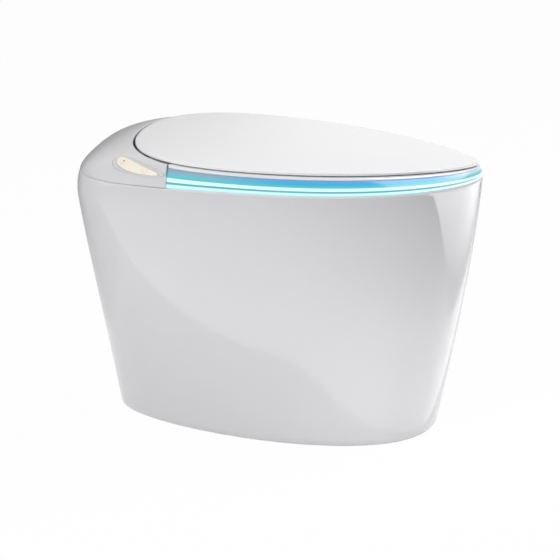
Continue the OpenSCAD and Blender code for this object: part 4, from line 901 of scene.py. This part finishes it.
def glowing(name, places, ramps, power, rough=0.12):
    """Lit clear plastic under a glossy skin. The glow's colour follows the height share of
    the surface, kept in the attribute 'share', by one ramp at the rear, one in the middle
    and one at the nose, and each fades into the next between two of the x in places."""
    material, nodes, links = new_material(name)
    share = make(nodes, "Attribute", attribute_name="share")
    split = make(nodes, "SeparateXYZ")
    links.new(make(nodes, "TexCoord").outputs["Object"], split.inputs[0])
    colours = []
    for stops in ramps:
        ramp = make(nodes, "ValToRGB")
        fill_ramp(ramp, stops)
        links.new(share.outputs["Fac"], ramp.inputs["Fac"])
        colours.append(ramp.outputs["Color"])
    colour = colours[0]
    for next_colour, (start, end) in zip(colours[1:], places):
        fade = make(nodes, "MapRange", interpolation_type="SMOOTHSTEP",
                    From_Min=start * MM, From_Max=end * MM)
        blend = make(nodes, "Mix", data_type="RGBA")
        wire(links, (split.outputs["X"], fade.inputs["Value"]),
             (fade.outputs["Result"], blend.inputs["Factor"]),
             (colour, blend.inputs["A"]), (next_colour, blend.inputs["B"]))
        colour = blend.outputs["Result"]
    surface = make(nodes, "BsdfPrincipled", Roughness=rough, Emission_Strength=power)
    dim = make(nodes, "Mix", data_type="RGBA", Factor=0.93, B=(0.02, 0.03, 0.04, 1))
    wire(links, (colour, surface.inputs["Emission Color"]), (colour, dim.inputs["A"]),
         (dim.outputs["Result"], surface.inputs["Base Color"]),
         (surface.outputs[0], make(nodes, "OutputMaterial").inputs["Surface"]))
    return material


def keep_share(piece):
    """Writes each vertex's share of the seat's height to the piece, for its material."""
    mesh = piece.data
    place = np.empty(len(mesh.vertices) * 3, np.float32)
    mesh.vertices.foreach_get("co", place)
    x, z = place[0::3] / MM, place[2::3] / MM
    share = (z - seat_z) / (seat_top(x) - seat_z)
    mesh.attributes.new("share", "FLOAT", "POINT").data.foreach_set("value", share.astype(np.float32))


band_profile = smooth_through(np.array([(1.4, band_low), (1.5, 0.49), (2, 0.56), (3, 0.66), (4.3, 0.75),
                                        (5.4, band_high)]), 2)
band_section = [*map(tuple, band_profile), (band_depth, band_high), (band_depth, band_low)]
band = build("lit_band", [side_run(band_section)], crease=50)
keep_share(band)
rear_blue = ((0.46, (0.1, 0.51, 0.57)), (0.53, (0.077, 0.52, 0.61)), (0.6, (0.13, 0.486, 0.6)),
             (0.67, (0.2, 0.41, 0.51)), (0.74, (0.25, 0.366, 0.448)), (0.8, (0.25, 0.317, 0.4)))
middle_blue = ((0.46, (0.1, 0.493, 0.6)), (0.53, (0.03, 0.486, 0.63)), (0.6, (0.0, 0.436, 0.67)),
               (0.67, (0.016, 0.377, 0.7)), (0.74, (0.08, 0.344, 0.64)), (0.8, (0.13, 0.286, 0.526)))
nose_blue = ((0.46, (0.19, 0.44, 0.5)), (0.53, (0.17, 0.48, 0.55)), (0.6, (0.22, 0.52, 0.61)),
             (0.67, (0.33, 0.57, 0.67)), (0.74, (0.45, 0.62, 0.71)), (0.8, (0.54, 0.66, 0.76)))
blue = glowing("band_blue", band_fades, (rear_blue, middle_blue, nose_blue), lit_power)
finish_as(band, blue)
rail_profile = [(0.9, 0.006), (0.35, 0.015), (0.05, 0.035), (0, 0.06), (0, 0.115), (0.15, 0.135),
                (0.6, 0.148), (2.4, 0.155), (2.4, 0.25), (0.8, 0.258), (0.35, 0.268), (0.2, 0.285),
                (0.22, 0.35), (0.4, 0.395), (0.75, 0.42), (1.3, 0.43),
                (band_depth - 1, 0.428), (band_depth - 1, 0.01)]
rail = build("light_rail", [side_run(rail_profile)], crease=50)
keep_share(rail)
# Stops up to 0.145 put a painted reflection of the diodes in the china's rim on the rail's lower lip; the
# stops above are the groove's dim glow and the upper lip's own glow.
lip_glow_and_rim_reflection = ((0.0, (0.55, 0.95, 1)), (0.145, (0.62, 1, 1)), (0.16, (0.1, 0.36, 0.42)), (0.245, (0.12, 0.4, 0.47)),
        (0.265, (0.65, 1, 1)), (0.43, (0.7, 1, 1)))
nose_lip_glow_and_rim_reflection = ((0.0, (0.75, 0.97, 1)), (0.145, (0.8, 1, 1)), (0.16, (0.28, 0.46, 0.52)),
             (0.245, (0.3, 0.5, 0.56)), (0.265, (0.65, 0.97, 1)), (0.43, (0.7, 1, 1)))
pale = glowing("rail_pale", band_fades, (lip_glow_and_rim_reflection, lip_glow_and_rim_reflection, nose_lip_glow_and_rim_reflection), lit_power)
finish_as(rail, pale)
for piece, slot_name, replaced in ((band, "light_strip", "light_band"), (rail, "light_rail", "light_guide")):
    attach(piece, "seat")
    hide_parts(replaced)

# The lid: a thin glossy moulding with a crowned top and a rounded edge, egg-shaped, that
# lies on the seat and leaves a dark joint line of nearly two millimetres.
lid_edge, lid_crown = 4.5, 4.5
lid_middle = np.array([40.0, 0.0])


def lid_ring(d, rise):
    """Ring of the lid moved in by d, at a height above its lower edge."""
    plan = whole(half_outline(lid_curves, d))
    return at_height(plan, lid_low_z - lid_fall * plan[:, 0] + rise)


def lid_in(q, rise):
    """Ring of the lid drawn in to share q of the way to the middle."""
    plan = whole(half_outline(lid_curves, 0)) * (1 - q) + lid_middle * q
    return at_height(plan, lid_low_z - lid_fall * plan[:, 0] + rise)


def crown(q):
    """Crown above the lid's edge at share q: steep at first, flat in the middle."""
    return lid_crown * (1 - (1 - q) ** 2.6)


lid_edge_rings = [lid_ring(1.5 - 1.5 * math.sin(a), lid_edge - 1.5 + 1.5 * math.cos(a)) for a in arc]
lid_wall = 3.5
lid_foot = ((lid_wall, lid_edge - 2.2), (lid_wall, 0.1), (3.2, 0), (0.8, 0), (0.25, 0.2), (0, 0.8))
under_shares = (0.98, 0.8, 0.6, 0.4, 0.25, 0.12)
top_shares = (0.03, 0.06, 0.1, 0.15, 0.2, 0.27, 0.35, 0.45, 0.55, 0.65, 0.75, 0.85, 0.93, 0.98)
lid_shell = build("lid_outer_shell", [skinned(
    [lid_in(q, lid_edge + crown(q) - 3) for q in under_shares]
    + [lid_ring(*p) for p in lid_foot]
    + lid_edge_rings[::-1]
    + [lid_ring(2.4, lid_edge + 0.12)]
    + [lid_in(q, lid_edge + crown(q)) for q in top_shares])], crease=60)
hinge_x = 215.0
hinge_z = lid_low_z + lid_fall * hinge_x + 0.5
eye_r, eye_clear = 3.3, 0.3
eye_from, eye_to = 28.0, 67.0
eye_lines = [[(-hinge_x, side * y, hinge_z) for y in (eye_from, eye_to)] for side in (-1, 1)]
eye_cuts = [build("eye_channel", [skinned(tube_along(line, eye_r + eye_clear))]) for line in eye_lines]
carve(lid_shell, eye_cuts, crease=60)
# The lid's white is set lighter than the cover's gloss white: painted light from above on its top.
lid_white_with_painted_light = moulded("lid_white_with_painted_light", (0.83, 0.83, 0.84), rough=0.16, depth=0.008, coat=0.5, drift=0.985)
finish_as(lid_shell, lid_white_with_painted_light)
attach(lid_shell, "lid")
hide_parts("lid_shell")

# The parts that show only when lid or seat is up, or from behind and below: each keeps its
# CAD form and gets the finish of its real material.
inner_white = moulded("inner_white", (0.62, 0.63, 0.65), rough=0.42, depth=0.08)
dark = moulded("dark_plastic", (0.03, 0.032, 0.036), rough=0.45, depth=0.1)
acetal = moulded("acetal", (0.74, 0.72, 0.64), rough=0.35, depth=0.03)
seal = moulded("seal_rubber", (0.035, 0.035, 0.037), rough=0.7, grain=300, depth=0.2)
bumper = moulded("bumper_rubber", (0.45, 0.46, 0.48), rough=0.6, grain=300, depth=0.15)
board = moulded("board_green", (0.01, 0.11, 0.05), rough=0.35)


def metal(name, colour, rough, brushed=0.0):
    """Metal with fine drawn scratches along the piece."""
    material, nodes, links = new_material(name)
    stretch = make(nodes, "Mapping", Scale=(1, 0.05, 1))
    lines = make(nodes, "TexNoise", Scale=900)
    gloss = make(nodes, "MapRange", To_Min=rough, To_Max=rough + brushed)
    surface = make(nodes, "BsdfPrincipled", Metallic=1, Base_Color=(*colour, 1))
    wire(links, (make(nodes, "TexCoord").outputs["Object"], stretch.inputs["Vector"]),
         (stretch.outputs["Vector"], lines.inputs["Vector"]), (lines.outputs["Fac"], gloss.inputs["Value"]),
         (gloss.outputs["Result"], surface.inputs["Roughness"]),
         (surface.outputs[0], make(nodes, "OutputMaterial").inputs["Surface"]))
    return material


steel = metal("brushed_steel", (0.62, 0.62, 0.63), 0.28, 0.15)
plated = metal("plated_brass", (0.7, 0.7, 0.7), 0.15, 0.08)
copper = metal("copper_foil", (0.8, 0.45, 0.25), 0.3, 0.1)
finishes = {
    "inner_plastic": inner_white, "dark_plastic": dark, "acetal": acetal, "soft_rubber": seal,
    "pale_rubber": bumper, "board": board, "steel": steel, "brass": plated, "copper_foil": copper,
    "shell_plastic": gloss_white, "cream_plastic": cream, "ceramic": china, "light_strip": blue,
    "light_rail": pale,
}
for entry in frame["record"]["subparts"]:
    finish_as(node[entry["node"]], finishes[entry["material_slot"]])
